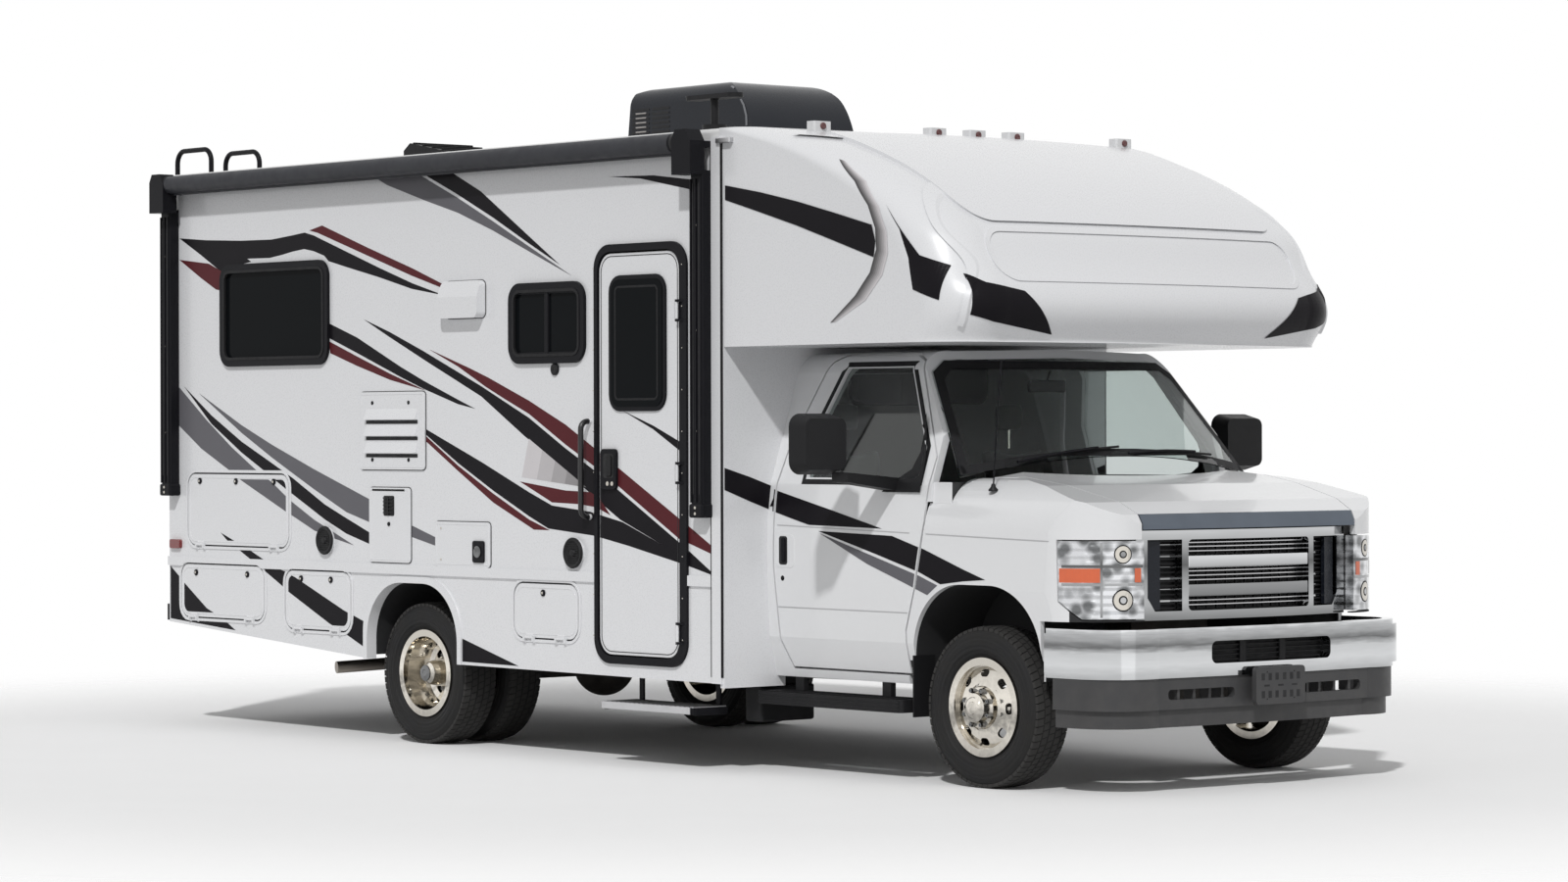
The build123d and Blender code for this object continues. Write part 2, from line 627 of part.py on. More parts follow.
with BuildPart() as windshield:
    add(screen_slab(0, GLASS, SCREEN_HALF))
    with BuildSketch(cross_plane(-900)):
        with BuildLine():
            Polyline((-940, COWL_TOP), (940, COWL_TOP), (940, 1410), (788, 1895), (700, 1950), (-700, 1950),
                     (-788, 1895), (-940, 1410), close=True)
        make_face()
    extrude(amount=1200, mode=Mode.INTERSECT)
save(windshield.part, "windshield")

with BuildPart() as cab_shell:
    add(cab_outer)
    add(cab_inner, mode=Mode.SUBTRACT)
    for side in SIDES.values():
        add(side_cutter(CAB_DOOR_EDGE, side, DOOR_CLEARANCE), mode=Mode.SUBTRACT)
        # the fender takes over ahead of the door
        with BuildSketch(side_plane(side * 880)):
            with Locations((-520, 400)):
                Rectangle(600, FENDER_EDGE_Z - 400, align=(Align.MIN, Align.MIN))
        extrude(amount=-side * 200, mode=Mode.SUBTRACT)
    # floor pan on its rocker flanges
    with BuildSketch(cross_plane(CAB_REAR)):
        with BuildLine():
            Polyline((0, FLOOR_CAB_Z), (870, FLOOR_CAB_Z), (870, SILL_Z), (935, SILL_Z), (935, SILL_Z + 35),
                     (890, SILL_Z + 35), (890, FLOOR_CAB_Z + 30), (0, FLOOR_CAB_Z + 30), close=True)
        make_face()
        mirror(about=Plane.YZ)
    extrude(amount=-520 - CAB_REAR)
    with BuildSketch(level_plane(FLOOR_CAB_Z)):
        with Locations((-530, 0)):
            Rectangle(230, 1120, align=(Align.MIN, Align.CENTER))
    extrude(amount=30)
    # firewall and cowl, up to the foot of the screen
    with BuildSketch(cross_plane(-330)):
        with BuildLine():
            Polyline((-560, FLOOR_CAB_Z), (560, FLOOR_CAB_Z), (560, 940), (850, 940), (850, 1340),
                     (-850, 1340), (-850, 940), (-560, 940), close=True)
        make_face()
    extrude(amount=30)
    with BuildSketch(level_plane(1320)):
        with BuildLine():
            Polyline((-330, -960), (-215, -960), (-215, -HOOD_HALF), (-118, -HOOD_HALF),
                     (-118, -COWL_HALF), (-95, -COWL_HALF))
            ThreePointArc((-95, -COWL_HALF), (60, 0), (-95, COWL_HALF))
            Polyline((-95, COWL_HALF), (-118, COWL_HALF), (-118, HOOD_HALF), (-215, HOOD_HALF),
                     (-215, 960), (-330, 960), (-330, -960))
        make_face()
    extrude(amount=COWL_TOP - 1320)
    # tunnel for the engine
    with BuildSketch(level_plane(400)):
        with Locations((-870, 0)):
            Rectangle(700, 560, align=(Align.MIN, Align.CENTER))
    extrude(amount=610, mode=Mode.SUBTRACT)
    add(screen_slab(0, 900, SCREEN_HALF, above=300), mode=Mode.SUBTRACT)
    # hinge lugs and pins for the hood
    for y in HOOD_HINGES_Y:
        for face in (y + 27, y - 17):
            with BuildSketch(side_plane(face)):
                with Locations((HOOD_AXIS[0] - 5, COWL_TOP)):
                    Rectangle(35, HOOD_AXIS[1] + 8 - COWL_TOP, align=(Align.CENTER, Align.MIN))
            extrude(amount=10)
        with BuildSketch(side_plane(y + 27)):
            with Locations(HOOD_AXIS):
                Circle(HINGE_PIN)
        extrude(amount=54)
    # hinge lugs and pins for the doors
    for side in SIDES.values():
        reach = DOOR_AXIS[1] + 10 - DOOR_POST_Y
        outward = (Align.CENTER, Align.MIN if side > 0 else Align.MAX)
        for z in DOOR_HINGES_Z:
            for face, lift in ((z + 16, 10), (z - 16, -10)):
                with BuildSketch(level_plane(face)):
                    with Locations((DOOR_AXIS[0], side * DOOR_POST_Y)):
                        Rectangle(24, reach, align=outward)
                extrude(amount=lift)
            with BuildSketch(level_plane(z - 26)):
                with Locations((DOOR_AXIS[0], side * DOOR_AXIS[1])):
                    Circle(DOOR_PIN)
            extrude(amount=52)
save(cab_shell.part, "cab_shell")

with BuildPart() as hood:
    add(nose_outer)
    add(nose_inner, mode=Mode.SUBTRACT)
    with BuildSketch(level_plane(HOOD_LIP_Z)):
        with BuildLine():
            Polyline((-110, -HOOD_HALF), (800, -HOOD_FRONT_HALF), (800, HOOD_FRONT_HALF), (-110, HOOD_HALF))
            ThreePointArc((-110, HOOD_HALF), (85, 0), (-110, -HOOD_HALF))
        make_face()
    extrude(amount=400, mode=Mode.INTERSECT)
    for y in HOOD_HINGES_Y:
        with BuildSketch(side_plane(y + 15)):
            with Locations(HOOD_AXIS):
                Circle(8)
                Rectangle(60, 12, align=(Align.MIN, Align.CENTER))
                Circle(HINGE_PIN + RUNNING_GAP, mode=Mode.SUBTRACT)
        extrude(amount=30)
save(hood.part, "hood")

with BuildPart() as front_fenders:
    add(nose_outer)
    add(nose_inner, mode=Mode.SUBTRACT)
    with BuildSketch(level_plane(LAMP_TOP)):
        with BuildLine():
            Polyline((-400, -HOOD_HALF - PANEL_GAP), (-110, -HOOD_HALF - PANEL_GAP),
                     (800, -HOOD_FRONT_HALF - PANEL_GAP), (800, HOOD_FRONT_HALF + PANEL_GAP),
                     (-110, HOOD_HALF + PANEL_GAP), (-400, HOOD_HALF + PANEL_GAP), close=True)
        make_face()
    extrude(amount=400, mode=Mode.SUBTRACT)
    with BuildSketch(level_plane(400)):
        with Locations((500, 0)):
            Rectangle(900, 1366)
        with Locations((-400, 0)):
            Rectangle(900, 2 * (CAB_HALF - CAB_SKIN))
    extrude(amount=1200, mode=Mode.SUBTRACT)
    with BuildSketch(side_plane(0)):
        outline(FRONT_ARCH)
        with Locations((600, 450)):
            Rectangle(400, 640)
        with BuildLine():
            Polyline((-174, 1700), (-174, FENDER_EDGE_Z - PANEL_GAP), (-352, FENDER_EDGE_Z - PANEL_GAP),
                     (-358, 1200), (-420, 900), (-490, 700), (-490, 400), (-900, 400), (-900, 1700),
                     close=True)
        make_face()
        Polygon(*LAMP_OPENING, align=None)
    extrude(amount=1300, both=True, mode=Mode.SUBTRACT)
    # room for the door hinges behind the rear edge
    for side in SIDES.values():
        with BuildSketch(side_plane(side * (CAB_HALF - 40))):
            with Locations((DOOR_AXIS[0] + 22, (DOOR_HINGES_Z[0] + DOOR_HINGES_Z[1]) / 2)):
                Rectangle(160, DOOR_HINGES_Z[1] - DOOR_HINGES_Z[0] + 66, align=(Align.MAX, Align.CENTER))
        extrude(amount=-side * 30, mode=Mode.SUBTRACT)
    # wheel housing inside each arch
    for side in SIDES.values():
        with BuildSketch(side_plane(side * (CAB_HALF - 31))):
            outline(FRONT_ARCH, 10)
            outline(FRONT_ARCH, mode=Mode.SUBTRACT)
            with Locations((FRONT_ARCH.x, 500)):
                Rectangle(1200, 1000, align=(Align.CENTER, Align.MAX), mode=Mode.SUBTRACT)
        extrude(amount=side * 400)
        with BuildSketch(side_plane(side * (CAB_HALF - 431))):
            outline(FRONT_ARCH, 10)
            with Locations((FRONT_ARCH.x, 500)):
                Rectangle(1200, 1000, align=(Align.CENTER, Align.MAX), mode=Mode.SUBTRACT)
        extrude(amount=side * 8)
        with BuildSketch(level_plane(876)):
            with Locations((-300, side * 600)):
                Rectangle(10, 60, align=(Align.MIN, Align.CENTER))
        extrude(amount=120)
save(front_fenders.part, "front_fenders")

# ---------------------------------------------------------------- front end

GRILLE_BOTTOM = 770
GRILLE_TOP = HOOD_LIP_Z - PANEL_GAP
GRILLE_HALF = 682
GRILLE_OPENING = (395, 810, 1130)
GRILLE_BAR = 30
GRILLE_BARS_Z = (900, 1030)
VENT_INNER = 432
VENT_OUTER = 622


def grille_slab(front, back, half, low, high):
    """A bowed slab across the nose."""
    with BuildPart() as slab:
        with BuildSketch(level_plane(low)):
            with BuildLine():
                ThreePointArc((front - 68, -half), (front, 0), (front - 68, half))
                Line((front - 68, half), (back - 58, half))
                ThreePointArc((back - 58, half), (back, 0), (back - 58, -half))
                Line((back - 58, -half), (front - 68, -half))
            make_face()
        extrude(amount=high - low)
    return slab.part


with BuildPart() as grille:
    add(grille_slab(NOSE_X, 700, GRILLE_HALF, GRILLE_BOTTOM, GRILLE_TOP))
    with BuildSketch(cross_plane(500)):
        opening_half, low, high = GRILLE_OPENING
        with Locations((0, (low + high) / 2)):
            RectangleRounded(2 * opening_half, high - low, 22)
        for side in SIDES.values():
            Polygon((side * VENT_INNER, low), (side * (VENT_OUTER - 40), low), (side * VENT_OUTER, low + 60),
                    (side * VENT_OUTER, high), (side * VENT_INNER, high), align=None)
    extrude(amount=400, mode=Mode.SUBTRACT)
    for z in GRILLE_BARS_Z:
        add(grille_slab(NOSE_X - 6, 722, opening_half + 20, z - GRILLE_BAR / 2, z + GRILLE_BAR / 2))
    # horizontal blades behind the side vents
    for z in range(850, 1120, 50):
        for side in SIDES.values():
            with BuildSketch(level_plane(z)):
                Polygon((662, side * (VENT_INNER - 12)), (690, side * (VENT_INNER - 12)),
                        (664, side * (VENT_OUTER + 12)), (640, side * (VENT_OUTER + 12)), align=None)
            extrude(amount=8)
save(grille.part, "grille")

with BuildPart() as headlamps:
    add(nose_outer)
    add(nose_block(70), mode=Mode.SUBTRACT)
    with BuildSketch(side_plane(0)):
        Polygon(*HEADLAMP_EDGE, align=None)
    extrude(amount=1300, both=True, mode=Mode.INTERSECT)
    with BuildSketch(level_plane(400)):
        with Locations((500, 0)):
            Rectangle(900, 2 * (GRILLE_HALF + PANEL_GAP))
    extrude(amount=1200, mode=Mode.SUBTRACT)
save(headlamps.part, "headlamps")


def bumper_band(z_low, z_high, front, half, thick, back):
    """A band that wraps round the nose."""
    with BuildPart() as band:
        with BuildSketch(level_plane(z_low)):
            with BuildLine():
                Line((back, -half), (front - 250, -half))
                ThreePointArc((front - 250, -half), (front - 70, -half + 90), (front - 30, -half + 300))
                ThreePointArc((front - 30, -half + 300), (front, 0), (front - 30, half - 300))
                ThreePointArc((front - 30, half - 300), (front - 70, half - 90), (front - 250, half))
                Line((front - 250, half), (back, half))
                Line((back, half), (back, half - thick))
                Line((back, half - thick), (front - 250, half - thick))
                ThreePointArc((front - 250, half - thick), (front - 70 - thick, half - 90 - thick),
                              (front - 30 - thick, half - 300))
                ThreePointArc((front - 30 - thick, half - 300), (front - thick, 0),
                              (front - 30 - thick, -half + 300))
                ThreePointArc((front - 30 - thick, -half + 300),
                              (front - 70 - thick, -half + 90 + thick), (front - 250, -half + thick))
                Line((front - 250, -half + thick), (back, -half + thick))
                Line((back, -half + thick), (back, -half))
            make_face()
        extrude(amount=z_high - z_low)
    return band.part


BUMPER_FRONT = 885
BUMPER_LOW = 520
BUMPER_HIGH = 740
BUMPER_EDGE = 22
BUMPER_SLOT = (780, 100, 628)
VALANCE_FRONT = 865
VALANCE_LOW = 300
VALANCE_STEP_Z = 380
VALANCE_SLOT = (400, 46, 445)
PLATE_Z = 470
with BuildPart() as front_bumper:
    add(bumper_band(BUMPER_LOW + BUMPER_EDGE, BUMPER_HIGH - BUMPER_EDGE, BUMPER_FRONT, CAB_HALF, 60, 430))
    for low in (BUMPER_LOW, BUMPER_HIGH - BUMPER_EDGE):
        add(bumper_band(low, low + BUMPER_EDGE, BUMPER_FRONT - 12, CAB_HALF - 12, 36, 430))
    with BuildSketch(cross_plane(BUMPER_FRONT + 20)):
        with Locations((0, BUMPER_SLOT[2])):
            RectangleRounded(BUMPER_SLOT[0], BUMPER_SLOT[1], 30)
    extrude(amount=-120, mode=Mode.SUBTRACT)
    for side in SIDES.values():
        with BuildSketch(level_plane(530)):
            with Locations((RAIL_FRONT, side * (RAIL_OUTER - RAIL_WIDTH / 2))):
                Rectangle(290, 60, align=(Align.MIN, Align.CENTER))
        extrude(amount=60)
save(front_bumper.part, "front_bumper")

with BuildPart() as front_valance:
    add(bumper_band(VALANCE_STEP_Z, BUMPER_LOW, VALANCE_FRONT, CAB_HALF - 15, 40, 470))
    add(bumper_band(VALANCE_LOW, VALANCE_STEP_Z, VALANCE_FRONT - 18, CAB_HALF - 33, 30, 470))
    with BuildSketch(cross_plane(VALANCE_FRONT + 20)):
        for side in SIDES.values():
            with Locations((side * 430, VALANCE_SLOT[2])):
                RectangleRounded(VALANCE_SLOT[0], VALANCE_SLOT[1], 18)
    extrude(amount=-160, mode=Mode.SUBTRACT)
    with BuildSketch(cross_plane(FRONT_OVERHANG)):
        with Locations((0, PLATE_Z)):
            RectangleRounded(320, 170, 20)
    extrude(amount=-PLATE_BRACKET)
    with BuildSketch(cross_plane(VALANCE_FRONT - 15)):
        with Locations((0, PLATE_Z - 15)):
            Rectangle(240, 110)
    extrude(amount=FRONT_OVERHANG - VALANCE_FRONT + 15 - PLATE_BRACKET)
    with BuildSketch(cross_plane(FRONT_OVERHANG)):
        with Locations((0, PLATE_Z)):
            with GridLocations(PLATE_HOLES_Y, PLATE_HOLES_Z, 2, 2):
                Circle(3.5)
    extrude(amount=-PLATE_BRACKET, mode=Mode.SUBTRACT)
save(front_valance.part, "front_valance")

# ---------------------------------------------------------------- cab interior

WHEEL_HUB = (-730, 450, 1215)
COLUMN_TILT = 28
DASH_HALF = 830
COLUMN_RADIUS = 20
column_plane = Plane(origin=(FRONT_AXLE + WHEEL_HUB[0], WHEEL_HUB[1], WHEEL_HUB[2]),
                     x_dir=(0, 1, 0),
                     z_dir=(-math.cos(math.radians(COLUMN_TILT)), 0, math.sin(math.radians(COLUMN_TILT))))
with BuildPart() as dashboard:
    with BuildSketch(side_plane(0)):
        with BuildLine():
            Polyline((-335, 1000), (-335, 1300), (-420, 1330), (-560, 1300), (-600, 1180),
                     (-520, 980), close=True)
        make_face()
    extrude(amount=DASH_HALF, both=True)
    # engine cover between the seats, open underneath and in front
    for half_width, drop, mode in ((300, 0, Mode.ADD), (280, 20, Mode.SUBTRACT)):
        with BuildSketch(side_plane(0)):
            with BuildLine():
                Polyline((-335 + drop, FLOOR_CAB_Z + 30 - drop), (-335 + drop, 1030 - drop),
                         (-620, 1030 - drop), (-840 + drop, 900 - drop),
                         (-880 + drop, FLOOR_CAB_Z + 30 - drop), close=True)
            make_face()
        extrude(amount=half_width, both=True, mode=mode)
    # steering column shroud with the shaft's bore
    with BuildSketch(column_plane.offset(-70)):
        Circle(38)
    extrude(amount=-130)
    with BuildSketch(column_plane.offset(-70)):
        Circle(COLUMN_RADIUS + RUNNING_GAP)
    extrude(amount=-75, mode=Mode.SUBTRACT)
save(dashboard.part, "dashboard")

with BuildPart() as steering_wheel:
    with BuildSketch(Plane(origin=column_plane.origin, x_dir=column_plane.z_dir,
                           z_dir=(0, 1, 0))):
        with Locations((0, 195)):
            Circle(14)
    revolve(axis=Axis(column_plane.origin, column_plane.z_dir))
    with BuildSketch(column_plane.offset(-14)):
        Circle(60)
        Rectangle(380, 36)
        with Locations((0, -95)):
            Rectangle(36, 190)
    extrude(amount=22)
    with BuildSketch(column_plane.offset(-12)):
        Circle(COLUMN_RADIUS)
    extrude(amount=-118)
save(steering_wheel.part, "steering_wheel")


with BuildPart() as cab_seats:
    for side in SIDES.values():
        with BuildSketch(side_plane(side * 310)):
            with BuildLine():
                Polyline((-1350, 860), (-1350, 980), (-1455, 1560), (-1380, 1580), (-1280, 1010),
                         (-900, 1010), (-880, 880), close=True)
            make_face()
        extrude(amount=-side * 480)
        with BuildSketch(level_plane(FLOOR_CAB_Z + 30)):
            with Locations((-1110, side * 540)):
                Rectangle(420, 400)
        extrude(amount=240)
        with BuildSketch(side_plane(side * 430)):
            with Locations((-1430, 1680)):
                RectangleRounded(90, 190, 35)
            with Locations((-1422, 1580)):
                Rectangle(30, 60)
        extrude(amount=-side * 230)
save(cab_seats.part, "cab_seats")

with BuildPart() as running_boards:
    for side in SIDES.values():
        with BuildSketch(level_plane(320)):
            with Locations((-985, side * 970)):
                RectangleRounded(1030, 160, 30)
        extrude(amount=60)
        with BuildSketch(level_plane(380)):
            with Locations((-1300, side * 930), (-680, side * 930)):
                Rectangle(60, 30)
        extrude(amount=SILL_Z - 380)
        with BuildSketch(level_plane(300)):
            with Locations((FRONT_ARCH.x - FRONT_ARCH.length / 2 + 4, side * 925)):
                Rectangle(8, 130)
        extrude(amount=285)
save(running_boards.part, "running_boards")

# ---------------------------------------------------------------- camper shell


WALL_OPENINGS = {
    "right": [REAR_WINDOW, SLIDER_WINDOW],
    "left": [REAR_WINDOW, DINETTE_WINDOW],
}
WALL_HATCHES = {"right": list(HATCHES.values()), "left": [LEFT_HATCH]}
entry_frame = Opening(ENTRY_DOOR.x + (ENTRY_HINGE_JAMB - ENTRY_JAMB) / 2, ENTRY_DOOR.z,
                      ENTRY_DOOR.length + ENTRY_JAMB + ENTRY_HINGE_JAMB,
                      ENTRY_DOOR.height + 2 * 45, 120)

HATCH_AXIS_OUT = 12
BARREL = 7
KNUCKLE = 60


def hatch_hinges(hatch):
    """Places of the two hinges along a hatch's bottom edge."""
    reach = hatch.length / 2 - hatch.radius - KNUCKLE
    return [hatch.x - reach, hatch.x + reach]


def hatch_lugs(hatch, side):
    """Wall side of the hinges: two lugs and a pin each, below the opening."""
    bottom = hatch.z - hatch.height / 2
    with BuildPart() as lugs:
        for x in hatch_hinges(hatch):
            for offset_x in (-KNUCKLE / 2 - 13, KNUCKLE / 2 + 1):
                with BuildSketch(cross_plane(x + offset_x)):
                    with BuildLine():
                        Polyline((side * BODY_HALF, bottom - 30), (side * (BODY_HALF + 19), bottom - 18),
                                 (side * (BODY_HALF + 19), bottom + 5), (side * (BODY_HALF + 6), bottom + 5),
                                 (side * (BODY_HALF + 5), bottom - 8), (side * BODY_HALF, bottom - 8),
                                 close=True)
                    make_face()
                extrude(amount=12)
            with BuildSketch(cross_plane(x - KNUCKLE / 2 - 5)):
                with Locations((side * (BODY_HALF + HATCH_AXIS_OUT), bottom)):
                    Circle(HINGE_PIN)
            extrude(amount=KNUCKLE + 10)
    return lugs.part


def hatch_door(hatch, side):
    """A hatch's slab with its hinge knuckles."""
    bottom = hatch.z - hatch.height / 2
    with BuildPart() as door:
        with BuildSketch(side_plane(side * (BODY_HALF + 3))):
            outline(hatch)
        extrude(amount=side * HATCH_THICK)
        for x in hatch_hinges(hatch):
            with BuildSketch(cross_plane(x - KNUCKLE / 2)):
                with BuildLine():
                    Polyline((side * (BODY_HALF + 3), bottom), (side * (BODY_HALF + 9), bottom),
                             (side * (BODY_HALF + 9), bottom + 16), (side * (BODY_HALF + 3), bottom + 22),
                             close=True)
                make_face()
                with Locations((side * (BODY_HALF + HATCH_AXIS_OUT), bottom)):
                    Circle(BARREL)
                    Circle(HINGE_PIN + RUNNING_GAP, mode=Mode.SUBTRACT)
            extrude(amount=KNUCKLE)
    return door.part


for side_name, side in SIDES.items():
    with BuildPart() as side_wall:
        with BuildSketch(side_plane(side * BODY_HALF)):
            with BuildLine():
                Polyline((BODY_REAR, SKIRT_REAR_Z), (ARCH.x - ARCH.length / 2, SKIRT_ARCH_Z),
                         (ARCH.x + ARCH.length / 2, SKIRT_ARCH_Z), (BODY_FRONT, SKIRT_FRONT_Z),
                         (BODY_FRONT, ROOF_Z - ROOF_THICK), (BODY_REAR, ROOF_Z - ROOF_THICK),
                         close=True)
            make_face()
        extrude(amount=side * WALL)
        # wheel arch lip, rub rail and corner trim stand proud of the skin
        with BuildSketch(side_plane(side * BODY_HALF)):
            with Locations((ARCH.x, 416)):
                RectangleRounded(ARCH.length + 2 * ARCH_LIP, 840 + 2 * ARCH_LIP, ARCH.radius)
            with Locations((ARCH.x, SKIRT_ARCH_Z)):
                Rectangle(1200, 1000, align=(Align.CENTER, Align.MAX), mode=Mode.SUBTRACT)
        extrude(amount=-side * LIP_PROUD)
        with BuildSketch(side_plane(side * BODY_HALF)):
            with Locations(((BODY_REAR + BODY_FRONT) / 2, RUB_RAIL_Z)):
                Rectangle(BODY_FRONT - BODY_REAR, RUB_RAIL_HEIGHT)
            with Locations((BODY_FRONT - CORNER_TRIM / 2 + 20, (ROOF_Z + SKIRT_FRONT_Z) / 2 - 20)):
                Rectangle(CORNER_TRIM, ROOF_Z - SKIRT_FRONT_Z - 40)
            if side_name == "right":
                outline(entry_frame, 2, mode=Mode.SUBTRACT)
        extrude(amount=-side * LIP_PROUD)
        with BuildSketch(side_plane(side * (BODY_HALF + 100))):
            with Locations((ARCH.x, 416)):
                RectangleRounded(ARCH.length, 840, ARCH.radius)
            for window in WALL_OPENINGS[side_name]:
                outline(window, -20)
            for hatch in WALL_HATCHES[side_name]:
                outline(hatch, DOOR_GAP)
            if side_name == "right":
                outline(entry_frame, -8)
        extrude(amount=side * 300, mode=Mode.SUBTRACT)
        for hatch in WALL_HATCHES[side_name]:
            add(hatch_lugs(hatch, side))
    save(side_wall.part, f"side_wall_{side_name}")

with BuildPart() as rear_wall:
    with BuildSketch(cross_plane(BODY_REAR)):
        with Locations((0, ROOF_Z - ROOF_THICK)):
            Rectangle(2 * (BODY_HALF - WALL), ROOF_Z - ROOF_THICK - REAR_WALL_Z,
                      align=(Align.CENTER, Align.MAX))
    extrude(amount=WALL)
save(rear_wall.part, "rear_wall")

with BuildPart() as camper_roof:
    with BuildSketch(cross_plane(BODY_REAR)):
        with BuildLine():
            Polyline((-BODY_HALF, ROOF_Z - ROOF_THICK), (BODY_HALF, ROOF_Z - ROOF_THICK))
            Line((BODY_HALF, ROOF_Z - ROOF_THICK), (BODY_HALF, ROOF_Z - 22))
            RadiusArc((BODY_HALF, ROOF_Z - 22), (BODY_HALF - 22, ROOF_Z), -22)
            Line((BODY_HALF - 22, ROOF_Z), (-BODY_HALF + 22, ROOF_Z))
            RadiusArc((-BODY_HALF + 22, ROOF_Z), (-BODY_HALF, ROOF_Z - 22), -22)
            Line((-BODY_HALF, ROOF_Z - 22), (-BODY_HALF, ROOF_Z - ROOF_THICK))
        make_face()
    extrude(amount=BODY_FRONT - BODY_REAR)
save(camper_roof.part, "camper_roof")

with BuildPart() as camper_floor:
    with BuildSketch(level_plane(FLOOR_TOP - FLOOR_THICK)):
        with Locations(((BODY_REAR + WALL + BODY_FRONT) / 2, 0)):
            Rectangle(BODY_FRONT - BODY_REAR - WALL, 2 * (BODY_HALF - WALL))
        # stair well inside the entry door
        with Locations((ENTRY_DOOR.x, -BODY_HALF + WALL + 200)):
            Rectangle(ENTRY_DOOR.length, 402, mode=Mode.SUBTRACT)
    extrude(amount=FLOOR_THICK)
    with BuildSketch(level_plane(525)):
        with Locations((ENTRY_DOOR.x, -BODY_HALF + WALL + 210)):
            Rectangle(ENTRY_DOOR.length + 40, 420)
    extrude(amount=FLOOR_TOP - 525 - 5)
    with BuildSketch(level_plane(545)):
        with Locations((ENTRY_DOOR.x, -BODY_HALF + WALL + 190)):
            Rectangle(ENTRY_DOOR.length, 400)
    extrude(amount=500, mode=Mode.SUBTRACT)
    # wheel housings above the dual tyres
    for side in SIDES.values():
        with BuildSketch(side_plane(side * (BODY_HALF - WALL))):
            with Locations((ARCH.x, 500)):
                RectangleRounded(ARCH.length + 16, 2 * (FLOOR_TOP - FLOOR_THICK - 12 - 500) + 14, 300)
            with Locations((ARCH.x, 500)):
                RectangleRounded(ARCH.length, 2 * (FLOOR_TOP - FLOOR_THICK - 12 - 500), 292,
                                 mode=Mode.SUBTRACT)
            with Locations((ARCH.x, SKIRT_ARCH_Z + 20)):
                Rectangle(1200, 1000, align=(Align.CENTER, Align.MAX), mode=Mode.SUBTRACT)
        extrude(amount=side * 560)
save(camper_floor.part, "camper_floor")

# ---------------------------------------------------------------- over-cab moulding


def cap_loft(inset=0):
    """The over-cab nose as sections stacked up its height."""
    half = BODY_HALF - inset
    with BuildPart() as cap:
        for z, front in CAP_STATIONS:
            rise = (z - CAP_BOTTOM) / (ROOF_Z - CAP_BOTTOM)
            height = CAP_BOTTOM + inset + rise * (ROOF_Z - CAP_BOTTOM - 2 * inset)
            with BuildSketch(level_plane(height)):
                with BuildLine():
                    nose = front - inset
                    bow = 70
                    back = BODY_FRONT - (10 if inset else 0)
                    corner = min(CAP_CORNER - inset, nose - bow - back - 30)
                    cut = corner * (1 - math.sqrt(0.5))
                    Line((back, -half), (nose - bow - corner, -half))
                    ThreePointArc((nose - bow - corner, -half), (nose - bow - cut, -half + cut),
                                  (nose - bow, -half + corner))
                    ThreePointArc((nose - bow, -half + corner), (nose, 0), (nose - bow, half - corner))
                    ThreePointArc((nose - bow, half - corner), (nose - bow - cut, half - cut),
                                  (nose - bow - corner, half))
                    Polyline((nose - bow - corner, half), (back, half), (back, -half))
                make_face()
        loft()
    return cap.part


BROW_PROUD = 16
BROW_LIP_Z = 2575
BROW_HALF = 1010
BROW_REAR = -1000
PANEL_BEAD = (2000, 250, 2420)
BEAD_PROUD = 9
BEAD_WIDTH = 20
CAP_SEAM = [(-1060, 3020), (-640, 2940), (-300, 2770), (-40, 2510), (120, 2290), (130, 2200), (90, 2090)]


def brow_panel():
    """The raised panel across the top of the nose, with round lower corners."""
    with BuildPart() as panel:
        add(cap_loft(-BROW_PROUD))
        with BuildSketch(cross_plane(BROW_REAR)):
            with Locations((0, BROW_LIP_Z)):
                RectangleRounded(2 * BROW_HALF, 2 * (ROOF_Z - BROW_LIP_Z), 130,
                                 align=(Align.CENTER, Align.MIN))
        extrude(amount=1600, mode=Mode.INTERSECT)
    return panel.part


def lower_bead():
    """A raised bead round the lower front panel."""
    with BuildPart() as bead:
        add(cap_loft(-BEAD_PROUD))
        with BuildSketch(cross_plane(-400)):
            with Locations((0, PANEL_BEAD[2])):
                RectangleRounded(PANEL_BEAD[0], PANEL_BEAD[1], 110)
                RectangleRounded(PANEL_BEAD[0] - 2 * BEAD_WIDTH, PANEL_BEAD[1] - 2 * BEAD_WIDTH, 90,
                                 mode=Mode.SUBTRACT)
        extrude(amount=900, mode=Mode.INTERSECT)
    return bead.part


def side_seam():
    """The ridge down each side where the flat side turns into the nose."""
    with BuildPart() as seam:
        add(cap_loft(-BEAD_PROUD))
        with BuildSketch(side_plane(0)):
            with BuildLine():
                Spline(*CAP_SEAM)
            trace(line_width=BEAD_WIDTH)
        extrude(amount=BODY_HALF + 60, both=True, mode=Mode.INTERSECT)
    return seam.part


with BuildPart() as overcab_cap:
    add(cap_loft())
    add(brow_panel())
    add(lower_bead())
    add(side_seam())
    add(cap_loft(CAP_WALL), mode=Mode.SUBTRACT)
save(overcab_cap.part, "overcab_cap")

with BuildPart() as transition_panels:
    with BuildSketch(cross_plane(BODY_FRONT)):
        with Locations((0, SKIRT_FRONT_Z - 20)):
            Rectangle(2 * BODY_HALF, CAP_BOTTOM - SKIRT_FRONT_Z + 20, align=(Align.CENTER, Align.MIN))
        with Locations((0, 300)):
            Rectangle(1780, RAIL_TOP + 10 - 300, align=(Align.CENTER, Align.MIN), mode=Mode.SUBTRACT)
    extrude(amount=CAB_REAR - BODY_FRONT)
    add(cab_section(CAB_REAR - 60, CAB_REAR + 60, CAB_SKIN).split(
        Plane.XY.offset(FLOOR_TOP), keep=Keep.TOP), mode=Mode.SUBTRACT)
save(transition_panels.part, "transition_panels")

# ---------------------------------------------------------------- entry door

